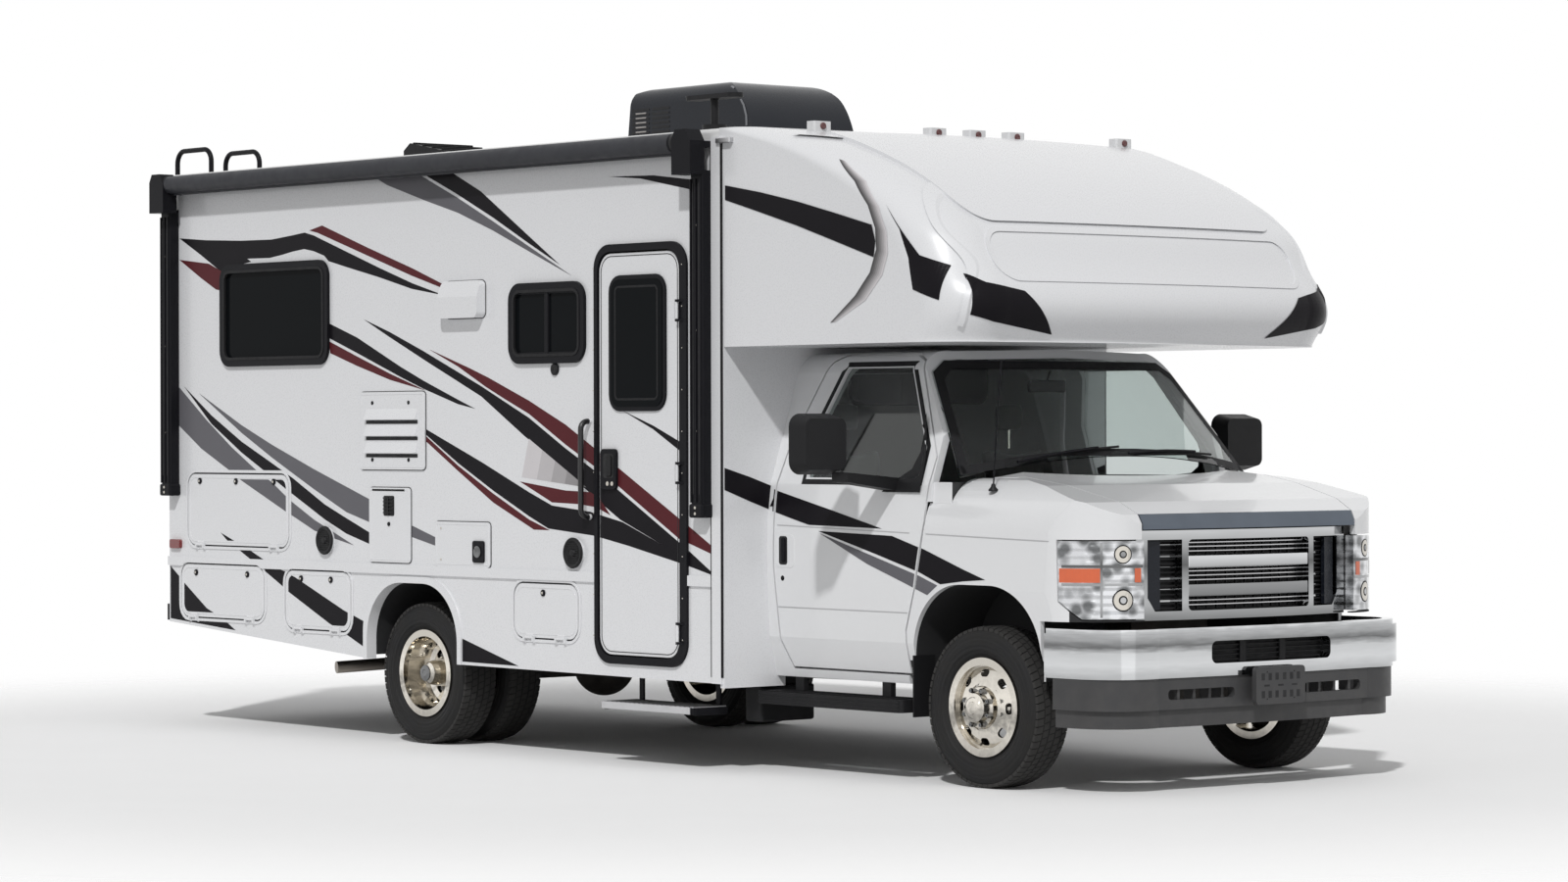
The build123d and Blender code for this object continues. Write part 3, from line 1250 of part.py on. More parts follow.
with BuildPart() as entry_door:
    with BuildSketch(side_plane(-BODY_HALF - 4)):
        outline(ENTRY_DOOR)
    extrude(amount=-ENTRY_SLAB)
    with BuildSketch(side_plane(-BODY_HALF - 60)):
        outline(ENTRY_WINDOW, -30)
    extrude(amount=-200, mode=Mode.SUBTRACT)
    for z in ENTRY_HINGES_Z:
        with BuildSketch(level_plane(z - 40)):
            with BuildLine():
                Polyline((ENTRY_AXIS[0] - 40, -BODY_HALF - 4), (ENTRY_AXIS[0] - 5, -BODY_HALF - 4),
                         (ENTRY_AXIS[0], -ENTRY_AXIS[1]), (ENTRY_AXIS[0] - 34, -BODY_HALF - 12), close=True)
            make_face()
            with Locations((ENTRY_AXIS[0], -ENTRY_AXIS[1])):
                Circle(BARREL)
                Circle(HINGE_PIN + RUNNING_GAP, mode=Mode.SUBTRACT)
        extrude(amount=80)
save(entry_door.part, "entry_door")

with BuildPart() as entry_door_window:
    with BuildSketch(side_plane(-BODY_HALF - 4)):
        outline(ENTRY_WINDOW)
    extrude(amount=14)
save(entry_door_window.part, "entry_door_window")

with BuildPart() as window_frames:
    for side_name, side in SIDES.items():
        for window in WALL_OPENINGS[side_name]:
            with BuildSketch(side_plane(side * (BODY_HALF + FRAME_PROUD))):
                outline(window)
            extrude(amount=side * FRAME_PROUD)
            with BuildSketch(side_plane(side * (BODY_HALF + FRAME_PROUD))):
                outline(window, -21)
            extrude(amount=side * (FRAME_PROUD + WALL))
            with BuildSketch(side_plane(side * (BODY_HALF + FRAME_PROUD + 1))):
                outline(window, -WINDOW_BORDER)
            extrude(amount=side * (FRAME_PROUD + WALL + 2), mode=Mode.SUBTRACT)
    with BuildSketch(side_plane(-BODY_HALF - 14)):
        outline(entry_frame)
    extrude(amount=-14)
    with BuildSketch(side_plane(-BODY_HALF - 14)):
        outline(entry_frame, -9)
    extrude(amount=-14 - WALL)
    with BuildSketch(side_plane(-BODY_HALF - 20)):
        outline(ENTRY_DOOR, DOOR_GAP)
    extrude(amount=-200, mode=Mode.SUBTRACT)
    for z in ENTRY_HINGES_Z:
        for low in (z - 53, z + 41):
            with BuildSketch(level_plane(low)):
                with BuildLine():
                    Polyline((ENTRY_AXIS[0] + 40, -BODY_HALF - 14), (ENTRY_AXIS[0] + 5, -BODY_HALF - 14),
                             (ENTRY_AXIS[0] - 7, -ENTRY_AXIS[1] + 4), (ENTRY_AXIS[0] - 7, -ENTRY_AXIS[1] - 7),
                             (ENTRY_AXIS[0] + 12, -ENTRY_AXIS[1] - 7), close=True)
                make_face()
            extrude(amount=12)
        with BuildSketch(level_plane(z - 45)):
            with Locations((ENTRY_AXIS[0], -ENTRY_AXIS[1])):
                Circle(HINGE_PIN)
        extrude(amount=90)
save(window_frames.part, "window_frames")

with BuildPart() as window_glass:
    for side_name, side in SIDES.items():
        for window in WALL_OPENINGS[side_name]:
            with BuildSketch(side_plane(side * (BODY_HALF + 2))):
                outline(window, -WINDOW_BORDER)
            extrude(amount=side * GLASS)
save(window_glass.part, "window_glass")

# ---------------------------------------------------------------- baggage doors and boxes

for name, hatch in HATCHES.items():
    with BuildPart() as baggage_door:
        add(hatch_door(hatch, SIDES["right"]))
    save(baggage_door.part, name)

with BuildPart() as baggage_door_left:
    add(hatch_door(LEFT_HATCH, SIDES["left"]))
save(baggage_door_left.part, "baggage_door_left")

with BuildPart() as baggage_boxes:
    for name, hatch in HATCHES.items():
        top = min(hatch.z + hatch.height / 2 + 30, FLOOR_TOP - FLOOR_THICK)
        bottom = hatch.z - hatch.height / 2 - 20
        if hatch.z > FLOOR_TOP:
            top = hatch.z + hatch.height / 2 + 30
            bottom = FLOOR_TOP
        with BuildSketch(level_plane(bottom)):
            with Locations((hatch.x, -BODY_HALF + WALL + BOX_DEPTH / 2)):
                Rectangle(hatch.length + 40, BOX_DEPTH)
        extrude(amount=top - bottom)
        with BuildSketch(level_plane(bottom + BOX_WALL)):
            with Locations((hatch.x, -BODY_HALF + WALL + BOX_DEPTH / 2 - BOX_WALL)):
                Rectangle(hatch.length + 40 - 2 * BOX_WALL, BOX_DEPTH)
        extrude(amount=top - bottom - 2 * BOX_WALL, mode=Mode.SUBTRACT)
    with BuildSketch(level_plane(530)):
        with Locations((LEFT_HATCH.x, BODY_HALF - WALL - BOX_DEPTH / 2)):
            Rectangle(LEFT_HATCH.length + 40, BOX_DEPTH)
    extrude(amount=FLOOR_TOP - FLOOR_THICK - 530)
    with BuildSketch(level_plane(530 + BOX_WALL)):
        with Locations((LEFT_HATCH.x, BODY_HALF - WALL - BOX_DEPTH / 2 + BOX_WALL)):
            Rectangle(LEFT_HATCH.length + 40 - 2 * BOX_WALL, BOX_DEPTH)
    extrude(amount=FLOOR_TOP - FLOOR_THICK - 530 - 2 * BOX_WALL, mode=Mode.SUBTRACT)
save(baggage_boxes.part, "baggage_boxes")

# ---------------------------------------------------------------- fittings on the walls

AWNING_Y = 1360
AWNING_REAR = REAR - 2187
AWNING_FRONT = -1700
AWNING_Z = 2995
AWNING_RADIUS = 46
with BuildPart() as awning:
    with BuildSketch(cross_plane(AWNING_REAR)):
        with Locations((-AWNING_Y, AWNING_Z)):
            Circle(AWNING_RADIUS)
    extrude(amount=AWNING_FRONT - AWNING_REAR)
    for x, z_low, z_high in ((AWNING_REAR - 65, 1280, 2860), (AWNING_FRONT + 105, 1220, 2860)):
        with BuildSketch(level_plane(z_low)):
            with Locations((x, -BODY_HALF - 34)):
                RectangleRounded(90, 66, 12)
        extrude(amount=z_high - z_low)
    for x in (AWNING_REAR - 65, AWNING_FRONT + 55):
        with BuildSketch(side_plane(-AWNING_Y + 40)):
            with BuildLine():
                Polyline((x - 45, 2840), (x + 95, 2840), (x + 95, 3000), (x + 60, 3055),
                         (x - 20, 3055), (x - 45, 3010), close=True)
            make_face()
        extrude(amount=90)
    with BuildSketch(side_plane(-BODY_HALF)):
        with Locations(((AWNING_REAR + AWNING_FRONT) / 2 + 20, 2985)):
            Rectangle(AWNING_FRONT - AWNING_REAR + 260, 30)
    extrude(amount=60)
save(awning.part, "awning")

COOLER_REAR = -3370
COOLER_LENGTH = 1030
COOLER_WIDTH = 680
COOLER_TOP = ROOF_Z + 340
COOLER_SLOT = 22
with BuildPart() as air_conditioner:
    with BuildSketch(side_plane(0)):
        with BuildLine():
            back = Polyline((COOLER_REAR, ROOF_Z), (COOLER_REAR, ROOF_Z + 70),
                            (COOLER_REAR + 30, COOLER_TOP - 20), (COOLER_REAR + 120, COOLER_TOP),
                            (COOLER_REAR + 720, COOLER_TOP))
            nose = Spline(back @ 1, (COOLER_REAR + 900, COOLER_TOP - 70),
                          (COOLER_REAR + 1000, COOLER_TOP - 220), (COOLER_REAR + COOLER_LENGTH, ROOF_Z))
            Line(nose @ 1, back @ 0)
        make_face()
    extrude(amount=COOLER_WIDTH / 2, both=True)
    with BuildSketch(cross_plane(COOLER_REAR)):
        with Locations((0, COOLER_TOP)):
            RectangleRounded(COOLER_WIDTH, 600, 90, align=(Align.CENTER, Align.MAX))
    extrude(amount=COOLER_LENGTH, mode=Mode.INTERSECT)
    # louvres over the rear half
    with BuildSketch(level_plane(COOLER_TOP - 16)):
        for count in range(8):
            with Locations((COOLER_REAR + 130 + count * 2 * COOLER_SLOT, 0)):
                Rectangle(COOLER_SLOT, COOLER_WIDTH - 200)
    extrude(amount=40, mode=Mode.SUBTRACT)
save(air_conditioner.part, "air_conditioner")

VENT_X = REAR - 1242
with BuildPart() as roof_vent:
    with BuildSketch(side_plane(0)):
        with BuildLine():
            Polyline((VENT_X - 305, ROOF_Z), (VENT_X - 305, ROOF_Z + 140), (VENT_X - 245, ROOF_Z + 180),
                     (VENT_X + 255, ROOF_Z + 90), (VENT_X + 305, ROOF_Z), close=True)
        make_face()
    extrude(amount=210, both=True)
save(roof_vent.part, "roof_vent")

LADDER_X = BODY_REAR - 95
LADDER_HOOP = LADDER_X + 345
LADDER_TOP = ROOF_Z + 140
LADDER_Y = (-1150, -830)
with BuildPart() as ladder:
    for y in LADDER_Y:
        with BuildLine() as rail_path:
            FilletPolyline((FRONT_AXLE + LADDER_X, y, 700), (FRONT_AXLE + LADDER_X, y, LADDER_TOP),
                           (FRONT_AXLE + LADDER_HOOP, y, LADDER_TOP), (FRONT_AXLE + LADDER_HOOP, y, ROOF_Z),
                           radius=70)
        with BuildSketch(Plane(origin=rail_path.line @ 0, z_dir=rail_path.line % 0)):
            Circle(14)
        sweep(path=rail_path.line)
    for z in range(800, ROOF_Z, 290):
        with BuildSketch(side_plane(LADDER_Y[1])):
            with Locations((LADDER_X, z)):
                Circle(13)
        extrude(amount=320)
    for z in (960, 1900, 2900):
        for y in LADDER_Y:
            with BuildSketch(side_plane(y + 10)):
                with Locations((BODY_REAR - 43, z)):
                    Rectangle(86, 20)
            extrude(amount=20)
save(ladder.part, "ladder")

with BuildPart() as tv_antenna:
    with BuildSketch(level_plane(ROOF_Z)):
        with Locations((-1800, -1050)):
            Circle(60)
    extrude(amount=40)
    with BuildSketch(level_plane(ROOF_Z)):
        with Locations((-1800, -1050)):
            Circle(20)
    extrude(amount=170)
    with BuildSketch(level_plane(3225)):
        with Locations((-1800, -1050)):
            RectangleRounded(380, 90, 40)
    extrude(amount=22)
save(tv_antenna.part, "tv_antenna")

with BuildPart() as body_lamps:
    for y in (-1000, -260, 0, 260, 1000):
        with BuildSketch(cross_plane(BODY_REAR)):
            with Locations((y, 2960)):
                RectangleRounded(110, 40, 12)
        extrude(amount=-22)
    for side in SIDES.values():
        with BuildSketch(cross_plane(BODY_REAR)):
            with Locations((side * 1080, 800)):
                RectangleRounded(150, 220, 20)
        extrude(amount=-32)
    for y in (-1000, -260, 0, 260, 1000):
        with BuildSketch(level_plane(ROOF_Z - 35)):
            with Locations((-1090, y)):
                RectangleRounded(60, 110, 12)
        extrude(amount=55)
    for side in SIDES.values():
        with BuildSketch(side_plane(side * BODY_HALF)):
            with Locations((BODY_REAR + 80, 1000)):
                RectangleRounded(100, 50, 12)
        extrude(amount=-side * 20)
    add(cap_loft(), mode=Mode.SUBTRACT)
save(body_lamps.part, "body_lamps")

BUMPER_BACK = REAR - REAR_OVERHANG
BUMPER_HALF = 1240
with BuildPart() as rear_bumper:
    with BuildSketch(level_plane(570)):
        with BuildLine():
            Polyline((BUMPER_BACK + 120, -BUMPER_HALF), (BUMPER_BACK + 53, -BUMPER_HALF),
                     (BUMPER_BACK, 50 - BUMPER_HALF), (BUMPER_BACK, BUMPER_HALF - 50),
                     (BUMPER_BACK + 53, BUMPER_HALF), (BUMPER_BACK + 120, BUMPER_HALF), close=True)
        make_face()
    extrude(amount=90)
    for side in SIDES.values():
        with BuildSketch(level_plane(585)):
            with Locations((BUMPER_BACK + 120, side * (RAIL_OUTER - RAIL_WIDTH / 2))):
                Rectangle(RAIL_REAR - BUMPER_BACK - 120, 60, align=(Align.MIN, Align.CENTER))
        extrude(amount=60)
save(rear_bumper.part, "rear_bumper")

STEP_X = -2005
STEP_Z = 270
STEP_LENGTH = 700
with BuildPart() as entry_step:
    with BuildSketch(level_plane(STEP_Z)):
        with Locations((STEP_X, -BODY_HALF + 60)):
            RectangleRounded(STEP_LENGTH, 230, 25)
    extrude(amount=30)
    for x in (STEP_X - STEP_LENGTH / 2 + 55, STEP_X + STEP_LENGTH / 2 - 55):
        with BuildSketch(side_plane(-1100)):
            with BuildLine():
                Polyline((x - 15, 290), (x + 15, 290), (x + 15, 525), (x - 15, 525), close=True)
            make_face()
        extrude(amount=12)
save(entry_step.part, "entry_step")

FRIDGE_PANEL = Opening(REAR - 157, 1627, 580, 405, 22)
FURNACE_PANEL = Opening(REAR - 182, 1135, 370, 390, 22)
UTILITY_PANEL = Opening(REAR + 458, 1045, 470, 230, 22)
RANGE_VENT = Opening(REAR + 483, 2295, 340, 190, 30)
LOUVRES_Z = (1715, 1630, 1540)
LOUVRE_LENGTH = 460
SPEAKERS = ((REAR - 767, 1045), (-2620, 1020))
with BuildPart() as wall_fittings:
    for panel, proud in ((FRIDGE_PANEL, 10), (FURNACE_PANEL, 8), (UTILITY_PANEL, 8)):
        with BuildSketch(side_plane(-BODY_HALF)):
            outline(panel)
        extrude(amount=proud)
    # three louvres across the upper panel
    for z in LOUVRES_Z:
        with BuildSketch(cross_plane(FRIDGE_PANEL.x - LOUVRE_LENGTH / 2)):
            Polygon((-BODY_HALF - 10, z - 30), (-BODY_HALF - 32, z - 30), (-BODY_HALF - 30, z - 24),
                    (-BODY_HALF - 10, z + 26), align=None)
        extrude(amount=LOUVRE_LENGTH)
    with BuildSketch(side_plane(-BODY_HALF)):
        outline(RANGE_VENT)
    extrude(amount=60)
    with BuildSketch(cross_plane(RANGE_VENT.x - RANGE_VENT.length / 2)):
        Polygon((-BODY_HALF - 30, RANGE_VENT.z + 95), (-BODY_HALF - 61, RANGE_VENT.z + 95),
                (-BODY_HALF - 61, RANGE_VENT.z + 10), align=None)
    extrude(amount=RANGE_VENT.length, mode=Mode.SUBTRACT)
    for place in SPEAKERS:
        with BuildSketch(side_plane(-BODY_HALF)):
            with Locations(place):
                Circle(70)
        extrude(amount=16)
    with BuildLine() as grab_path:
        FilletPolyline((FRONT_AXLE - 2500, -BODY_HALF, 1200), (FRONT_AXLE - 2500, -BODY_HALF - 60, 1200),
                       (FRONT_AXLE - 2500, -BODY_HALF - 60, 1670),
                       (FRONT_AXLE - 2500, -BODY_HALF, 1670), radius=40)
    with BuildSketch(Plane(origin=grab_path.line @ 0, z_dir=grab_path.line % 0)):
        Circle(14)
    sweep(path=grab_path.line)
save(wall_fittings.part, "wall_fittings")
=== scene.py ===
import math

import bmesh
import bpy
from mathutils import Matrix, Vector, geometry
from mathutils.bvhtree import BVHTree


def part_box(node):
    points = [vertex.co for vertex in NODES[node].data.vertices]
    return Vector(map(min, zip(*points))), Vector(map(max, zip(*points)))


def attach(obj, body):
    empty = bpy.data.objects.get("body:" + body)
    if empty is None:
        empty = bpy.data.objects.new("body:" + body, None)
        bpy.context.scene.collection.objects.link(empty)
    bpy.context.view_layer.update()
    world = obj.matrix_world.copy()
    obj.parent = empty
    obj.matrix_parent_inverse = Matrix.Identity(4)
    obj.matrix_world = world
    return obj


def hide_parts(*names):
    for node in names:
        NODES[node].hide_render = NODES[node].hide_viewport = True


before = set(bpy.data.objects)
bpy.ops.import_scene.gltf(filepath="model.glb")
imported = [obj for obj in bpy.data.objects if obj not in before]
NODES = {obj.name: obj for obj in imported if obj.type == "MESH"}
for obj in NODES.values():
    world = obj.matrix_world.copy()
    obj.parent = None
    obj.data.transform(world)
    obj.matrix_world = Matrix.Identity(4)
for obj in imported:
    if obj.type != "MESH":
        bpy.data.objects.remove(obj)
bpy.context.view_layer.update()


def middle(node):
    low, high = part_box(node)
    return (low + high) / 2


# Places along the vehicle are written from the front axle, which the tyres give
AXLE_X = middle("front_tyre_right").x
REAR_AXLE = middle("rear_tyres_right").x - AXLE_X
WALL_Y = 1.27
SIDES = {"right": -1, "left": 1}
AXLE_HEIGHT = middle("front_tyre_right").z

# ------------------------------------------------------------------ materials


def put(tree, node, inputs):
    """Set a node's inputs to values, or link them to the outputs of other nodes."""
    for socket, value in inputs.items():
        if isinstance(value, bpy.types.NodeSocket):
            tree.links.new(value, node.inputs[socket])
        else:
            node.inputs[socket].default_value = value


def add(tree, kind, inputs, out=0, **settings):
    """A new shader node's output."""
    node = tree.nodes.new("ShaderNode" + kind)
    for key, value in settings.items():
        setattr(node, key, value)
    put(tree, node, inputs)
    return node.outputs[out]


def new_material(name):
    mat = bpy.data.materials.new(name)
    mat.use_nodes = True
    tree = mat.node_tree
    return mat, tree, tree.nodes["Principled BSDF"], add(tree, "TexCoord", {}, "Object")


def maths(tree, operation, *values):
    return add(tree, "Math", dict(enumerate(values)), operation=operation)


def coordinate(tree, coords, axis):
    """X, Y or Z, or abs_Y for the distance from the middle plane."""
    value = add(tree, "SeparateXYZ", {0: coords}, axis[-1])
    return maths(tree, "ABSOLUTE", value) if axis.startswith("abs") else value


def noise(tree, coords, scale, detail=3.0, stretch=(1, 1, 1)):
    place = add(tree, "Mapping", {"Vector": coords, "Scale": stretch})
    return add(tree, "TexNoise", {"Vector": place, "Scale": scale, "Detail": detail}, "Fac")


def ranged(tree, value, low, high, to_low, to_high, **settings):
    return add(tree, "MapRange", {"Value": value, "From Min": low, "From Max": high, "To Min": to_low,
        "To Max": to_high}, **settings)


def spread(tree, fac, low, high):
    """Noise, which keeps near its middle, spread over a range."""
    return ranged(tree, fac, 0.3, 0.7, low, high)


MIX_FACTOR, MIX_FIRST, MIX_SECOND, MIX_RESULT = 0, 6, 7, 2


def mix(tree, fac, first, second):
    first, second = ((*colour, 1) if isinstance(colour, tuple) else colour for colour in (first, second))
    return add(tree, "Mix", {MIX_FACTOR: fac, MIX_FIRST: first, MIX_SECOND: second}, MIX_RESULT,
        data_type="RGBA")


def bump(tree, shader, height, strength, distance):
    inputs = {"Strength": strength, "Distance": distance, "Height": height}
    if shader.inputs["Normal"].links:
        inputs["Normal"] = shader.inputs["Normal"].links[0].from_socket
    put(tree, shader, {"Normal": add(tree, "Bump", inputs)})


DUST = (0.36, 0.33, 0.29)


def finish(name, colour, rough, vary, cloud, grain, relief, metal=0.0, coat=0.0, dust=0.0, stretch=(1, 1, 1),
        depth=0.0004, shine=0.5):
    """A finish with cloudy colour, uneven gloss, a fine grain and road dust low down."""
    mat, tree, shader, coords = new_material(name)
    dark = tuple(c * (1 - vary) for c in colour)
    light = tuple(min(1.0, c * (1 + vary)) for c in colour)
    paint = mix(tree, noise(tree, coords, cloud), dark, light)
    if dust:
        low = ranged(tree, coordinate(tree, coords, "Z"), 1.0, 0.35, 0.0, dust)
        paint = mix(tree, maths(tree, "MULTIPLY", low, noise(tree, coords, 14.0, 6.0)), paint, DUST)
    gloss = spread(tree, noise(tree, coords, cloud * 4), rough * 0.9, min(1.0, rough * 1.12))
    put(tree, shader, {"Base Color": paint, "Roughness": gloss, "Metallic": metal, "Coat Weight": coat,
        "Coat Roughness": 0.04, "Specular IOR Level": shine})
    if relief:
        bump(tree, shader, noise(tree, coords, grain, 2.0, stretch), relief, depth)
    return mat


def lined(mat, tests, colour, rough=0.6, metal=0.0):
    """The same finish, with another one where every test holds."""
    tree = mat.node_tree
    shader = tree.nodes["Principled BSDF"]
    coords = add(tree, "TexCoord", {}, "Object")
    inside = None
    for axis, way, limit in tests:
        test = maths(tree, {">": "GREATER_THAN", "<": "LESS_THAN"}[way], coordinate(tree, coords, axis),
            limit)
        inside = test if inside is None else maths(tree, "MULTIPLY", inside, test)
    lining = mix(tree, noise(tree, coords, 8.0), tuple(c * 0.8 for c in colour), colour)
    old = shader.inputs["Base Color"].links[0].from_socket
    put(tree, shader, {"Base Color": mix(tree, inside, old, lining)})
    for socket, value in (("Roughness", rough), ("Metallic", metal), ("Coat Weight", 0.0)):
        slot = shader.inputs[socket]
        before = slot.links[0].from_socket if slot.links else slot.default_value
        put(tree, shader, {socket: add(tree, "Mix", {"Factor": inside, "A": before, "B": value})})
    return mat


def glazing(name, tint):
    mat, tree, shader, coords = new_material(name)
    dark = tuple(c * 0.94 for c in tint)
    put(tree, shader, {"Base Color": mix(tree, noise(tree, coords, 2.0), dark, tint),
        "Roughness": spread(tree, noise(tree, coords, 9.0), 0.007, 0.014), "Transmission Weight": 1.0,
        "IOR": 1.45})
    return mat


def gelcoat(name):
    return finish(name, (0.7, 0.705, 0.72), 0.28, 0.014, 45, 260, 0.015, coat=0.25, dust=0.05)


def cab_paint(name):
    return finish(name, (0.71, 0.715, 0.725), 0.22, 0.014, 55, 500, 0.012, coat=0.5, dust=0.05)


WHITE = gelcoat("gelcoat_white")
PAINT = cab_paint("cab_paint_white")
BLACK = (0.01, 0.01, 0.011)
FENDER_PAINT = lined(cab_paint("fender_paint"), [("abs_Y", "<", 0.968), ("Z", "<", 1.02)], BLACK, 0.8)
SHELL_PAINT = lined(cab_paint("cab_shell_paint"), [("X", ">", AXLE_X - 0.325), ("Z", ">", 1.3),
    ("Z", "<", 1.43), ("abs_Y", "<", 0.9585)], (0.018, 0.018, 0.019), 0.55)
# the lip over the grille gets a dark blue-grey metal base: a painted reflection on a bright lip
HOOD_PAINT = lined(cab_paint("hood_paint"), [("X", ">", AXLE_X + 0.69), ("Z", "<", 1.247),
    ("abs_Y", "<", 0.7)], (0.13, 0.15, 0.18), 0.1, 1.0)
FITTINGS = lined(gelcoat("gelcoat_fittings"), [("Y", "<", -1.284), ("X", ">", AXLE_X - 2.53),
    ("X", "<", AXLE_X - 2.47), ("Z", ">", 1.17)], BLACK, 0.35)
ROOFING = finish("roof_membrane", (0.66, 0.66, 0.66), 0.55, 0.05, 4, 300, 0.2)


def vinyl(name, colour, vary, shine):
    return finish(name, colour, 0.34, vary, 5, 1200, 0.02, shine=shine)


BLACK_VINYL = vinyl("vinyl_black", (0.009, 0.008, 0.01), 0.12, 0.06)
GREY_VINYL = vinyl("vinyl_grey", (0.125, 0.123, 0.135), 0.06, 0.1)
MAROON_VINYL = vinyl("vinyl_maroon", (0.088, 0.016, 0.02), 0.08, 0.08)
BLACK_METAL = finish("black_powder_coat", (0.01, 0.01, 0.012), 0.34, 0.15, 6, 1500, 0.2, shine=0.07)
PLASTIC = finish("black_moulded_plastic", (0.012, 0.012, 0.013), 0.48, 0.12, 7, 2400, 0.4, depth=0.0003,
    shine=0.16)
SHROUD = finish("shroud_black", (0.01, 0.012, 0.017), 0.26, 0.15, 3, 1800, 0.08, shine=0.22)
GREY_PLASTIC = finish("grey_moulded_plastic", (0.034, 0.035, 0.038), 0.46, 0.08, 5, 2200, 0.4, dust=0.1,
    depth=0.0003, shine=0.3)
CABIN = finish("cabin_plastic", (0.016, 0.016, 0.017), 0.6, 0.1, 6, 1600, 0.5, shine=0.25)
CHASSIS = finish("chassis_black", (0.014, 0.013, 0.013), 0.65, 0.3, 6, 500, 0.4, dust=0.25, shine=0.25)
IRON = finish("cast_iron", (0.07, 0.062, 0.056), 0.7, 0.3, 9, 420, 0.6, metal=0.6, dust=0.4)


def horizon_painted_plate(name, stops, low, high, rough=0.06, streak=(0.25, 0.25, 3.0), waver=0.04, tint=(0.97, 0.985, 1.0)):
    """Bright plate with a painted reflection of a horizon: (place, grey) stops between two heights, broken by
    streaks.
    """
    mat, tree, shader, coords = new_material(name)
    height = maths(tree, "MULTIPLY_ADD", noise(tree, coords, 9.0, 4.0, streak), waver,
        coordinate(tree, coords, "Z"))
    ramp = tree.nodes.new("ShaderNodeValToRGB")
    put(tree, ramp, {"Fac": ranged(tree, height, low, high, 0.0, 1.0)})
    band = ramp.color_ramp
    for number, (place, _) in enumerate(stops):
        stop = band.elements[number] if number < 2 else band.elements.new(place)
        stop.position = place
    for stop, (_, grey) in zip(band.elements, stops):
        stop.color = tuple(grey * share for share in tint) + (1,)
    put(tree, shader, {"Base Color": ramp.outputs["Color"], "Metallic": 1.0,
        "Roughness": spread(tree, noise(tree, coords, 30.0), rough * 0.8, rough * 1.3)})
    bump(tree, shader, noise(tree, coords, 60.0), 0.02, 0.0008)
    return mat


# the greys of these plates are painted horizon reflections, laid out by height
CHROME = horizon_painted_plate("chrome_plate", [(0.0, 0.2), (0.22, 0.46), (0.45, 0.34), (0.62, 0.13), (0.8, 0.34),
    (1.0, 0.6)], 0.78, 1.2)
BAR_CHROME = horizon_painted_plate("chrome_bars", [(0.0, 0.16), (0.35, 0.3), (0.5, 0.6), (0.62, 0.26), (0.85, 0.55),
    (1.0, 0.72)], 0.86, 1.07, waver=0.02)
BUMPER_CHROME = horizon_painted_plate("chrome_bumper", [(0.0, 0.42), (0.3, 0.66), (0.52, 0.58), (0.66, 0.16), (0.78, 0.34),
    (0.93, 0.5), (1.0, 0.8)], 0.53, 0.765, streak=(0.8, 0.8, 6.0))
DISC = horizon_painted_plate("polished_steel", [(0.0, 0.26), (0.25, 0.56), (0.42, 0.76), (0.55, 0.34), (0.72, 0.8),
    (1.0, 0.56)], 0.12, 0.62, 0.09, streak=(4.0, 1.0, 4.0), waver=0.16, tint=(1.0, 0.95, 0.86))
ALLOY = finish("mill_aluminium", (0.55, 0.55, 0.56), 0.32, 0.08, 12, 700, 0.25, metal=1.0,
    stretch=(0.05, 1, 1))
EXHAUST = finish("exhaust_steel", (0.3, 0.27, 0.24), 0.42, 0.3, 10, 500, 0.3, metal=1.0, dust=0.3)
BOARD = lined(finish("floor_board", (0.2, 0.15, 0.1), 0.7, 0.25, 2, 120, 0.3, stretch=(0.1, 1, 1)),
    [("Z", "<", 0.925)], BLACK, 0.8)
RED_LENS = finish("red_lens", (0.16, 0.006, 0.006), 0.16, 0.1, 20, 500, 0.5, coat=0.6)
ROOF_LENS = lined(RED_LENS, [("Z", ">", 2.86), ("X", ">", AXLE_X - 1.3)], (0.74, 0.745, 0.755), 0.3)
AMBER_LENS = finish("amber_lens", (0.62, 0.105, 0.025), 0.16, 0.1, 20, 400, 0.5, coat=0.6)
# near-black sheets of painted shade, set into gaps, slots, holes and recesses
PAINTED_SHADE = finish("painted_recess_shade", (0.008, 0.008, 0.009), 0.8, 0.2, 5, 900, 0.2)
SEAL = finish("rubber_seal", (0.011, 0.011, 0.012), 0.62, 0.12, 8, 1500, 0.3, shine=0.2)
SCREEN = glazing("windshield_glass", (0.8, 0.86, 0.84))
TINTED = glazing("door_glass", (0.62, 0.67, 0.66))
PRIVACY = finish("privacy_glass", (0.006, 0.007, 0.008), 0.06, 0.2, 1.0, 3, 0.02, depth=0.004, shine=0.03)


def tyre_rubber(name, centre_x):
    """Black rubber with rings moulded into the sidewall and dust in the hollows."""
    mat, tree, shader, coords = new_material(name)
    dusty = noise(tree, coords, 9.0, 6.0)
    colour = mix(tree, spread(tree, dusty, 0.0, 0.6), (0.008, 0.008, 0.009), (0.026, 0.025, 0.023))
    put(tree, shader, {"Base Color": colour, "Roughness": spread(tree, dusty, 0.6, 0.85),
        "Specular IOR Level": 0.25})
    flat = add(tree, "Mapping", {"Vector": coords, "Location": (-centre_x, 0.0, -AXLE_HEIGHT),
        "Scale": (1.0, 0.0, 1.0)})
    rings = add(tree, "TexWave", {"Vector": flat, "Scale": 16.0}, "Fac", wave_type="RINGS",
        rings_direction="SPHERICAL")
    bump(tree, shader, rings, 0.5, 0.003)
    bump(tree, shader, noise(tree, coords, 1100.0, 2.0), 0.4, 0.0005)
    return mat


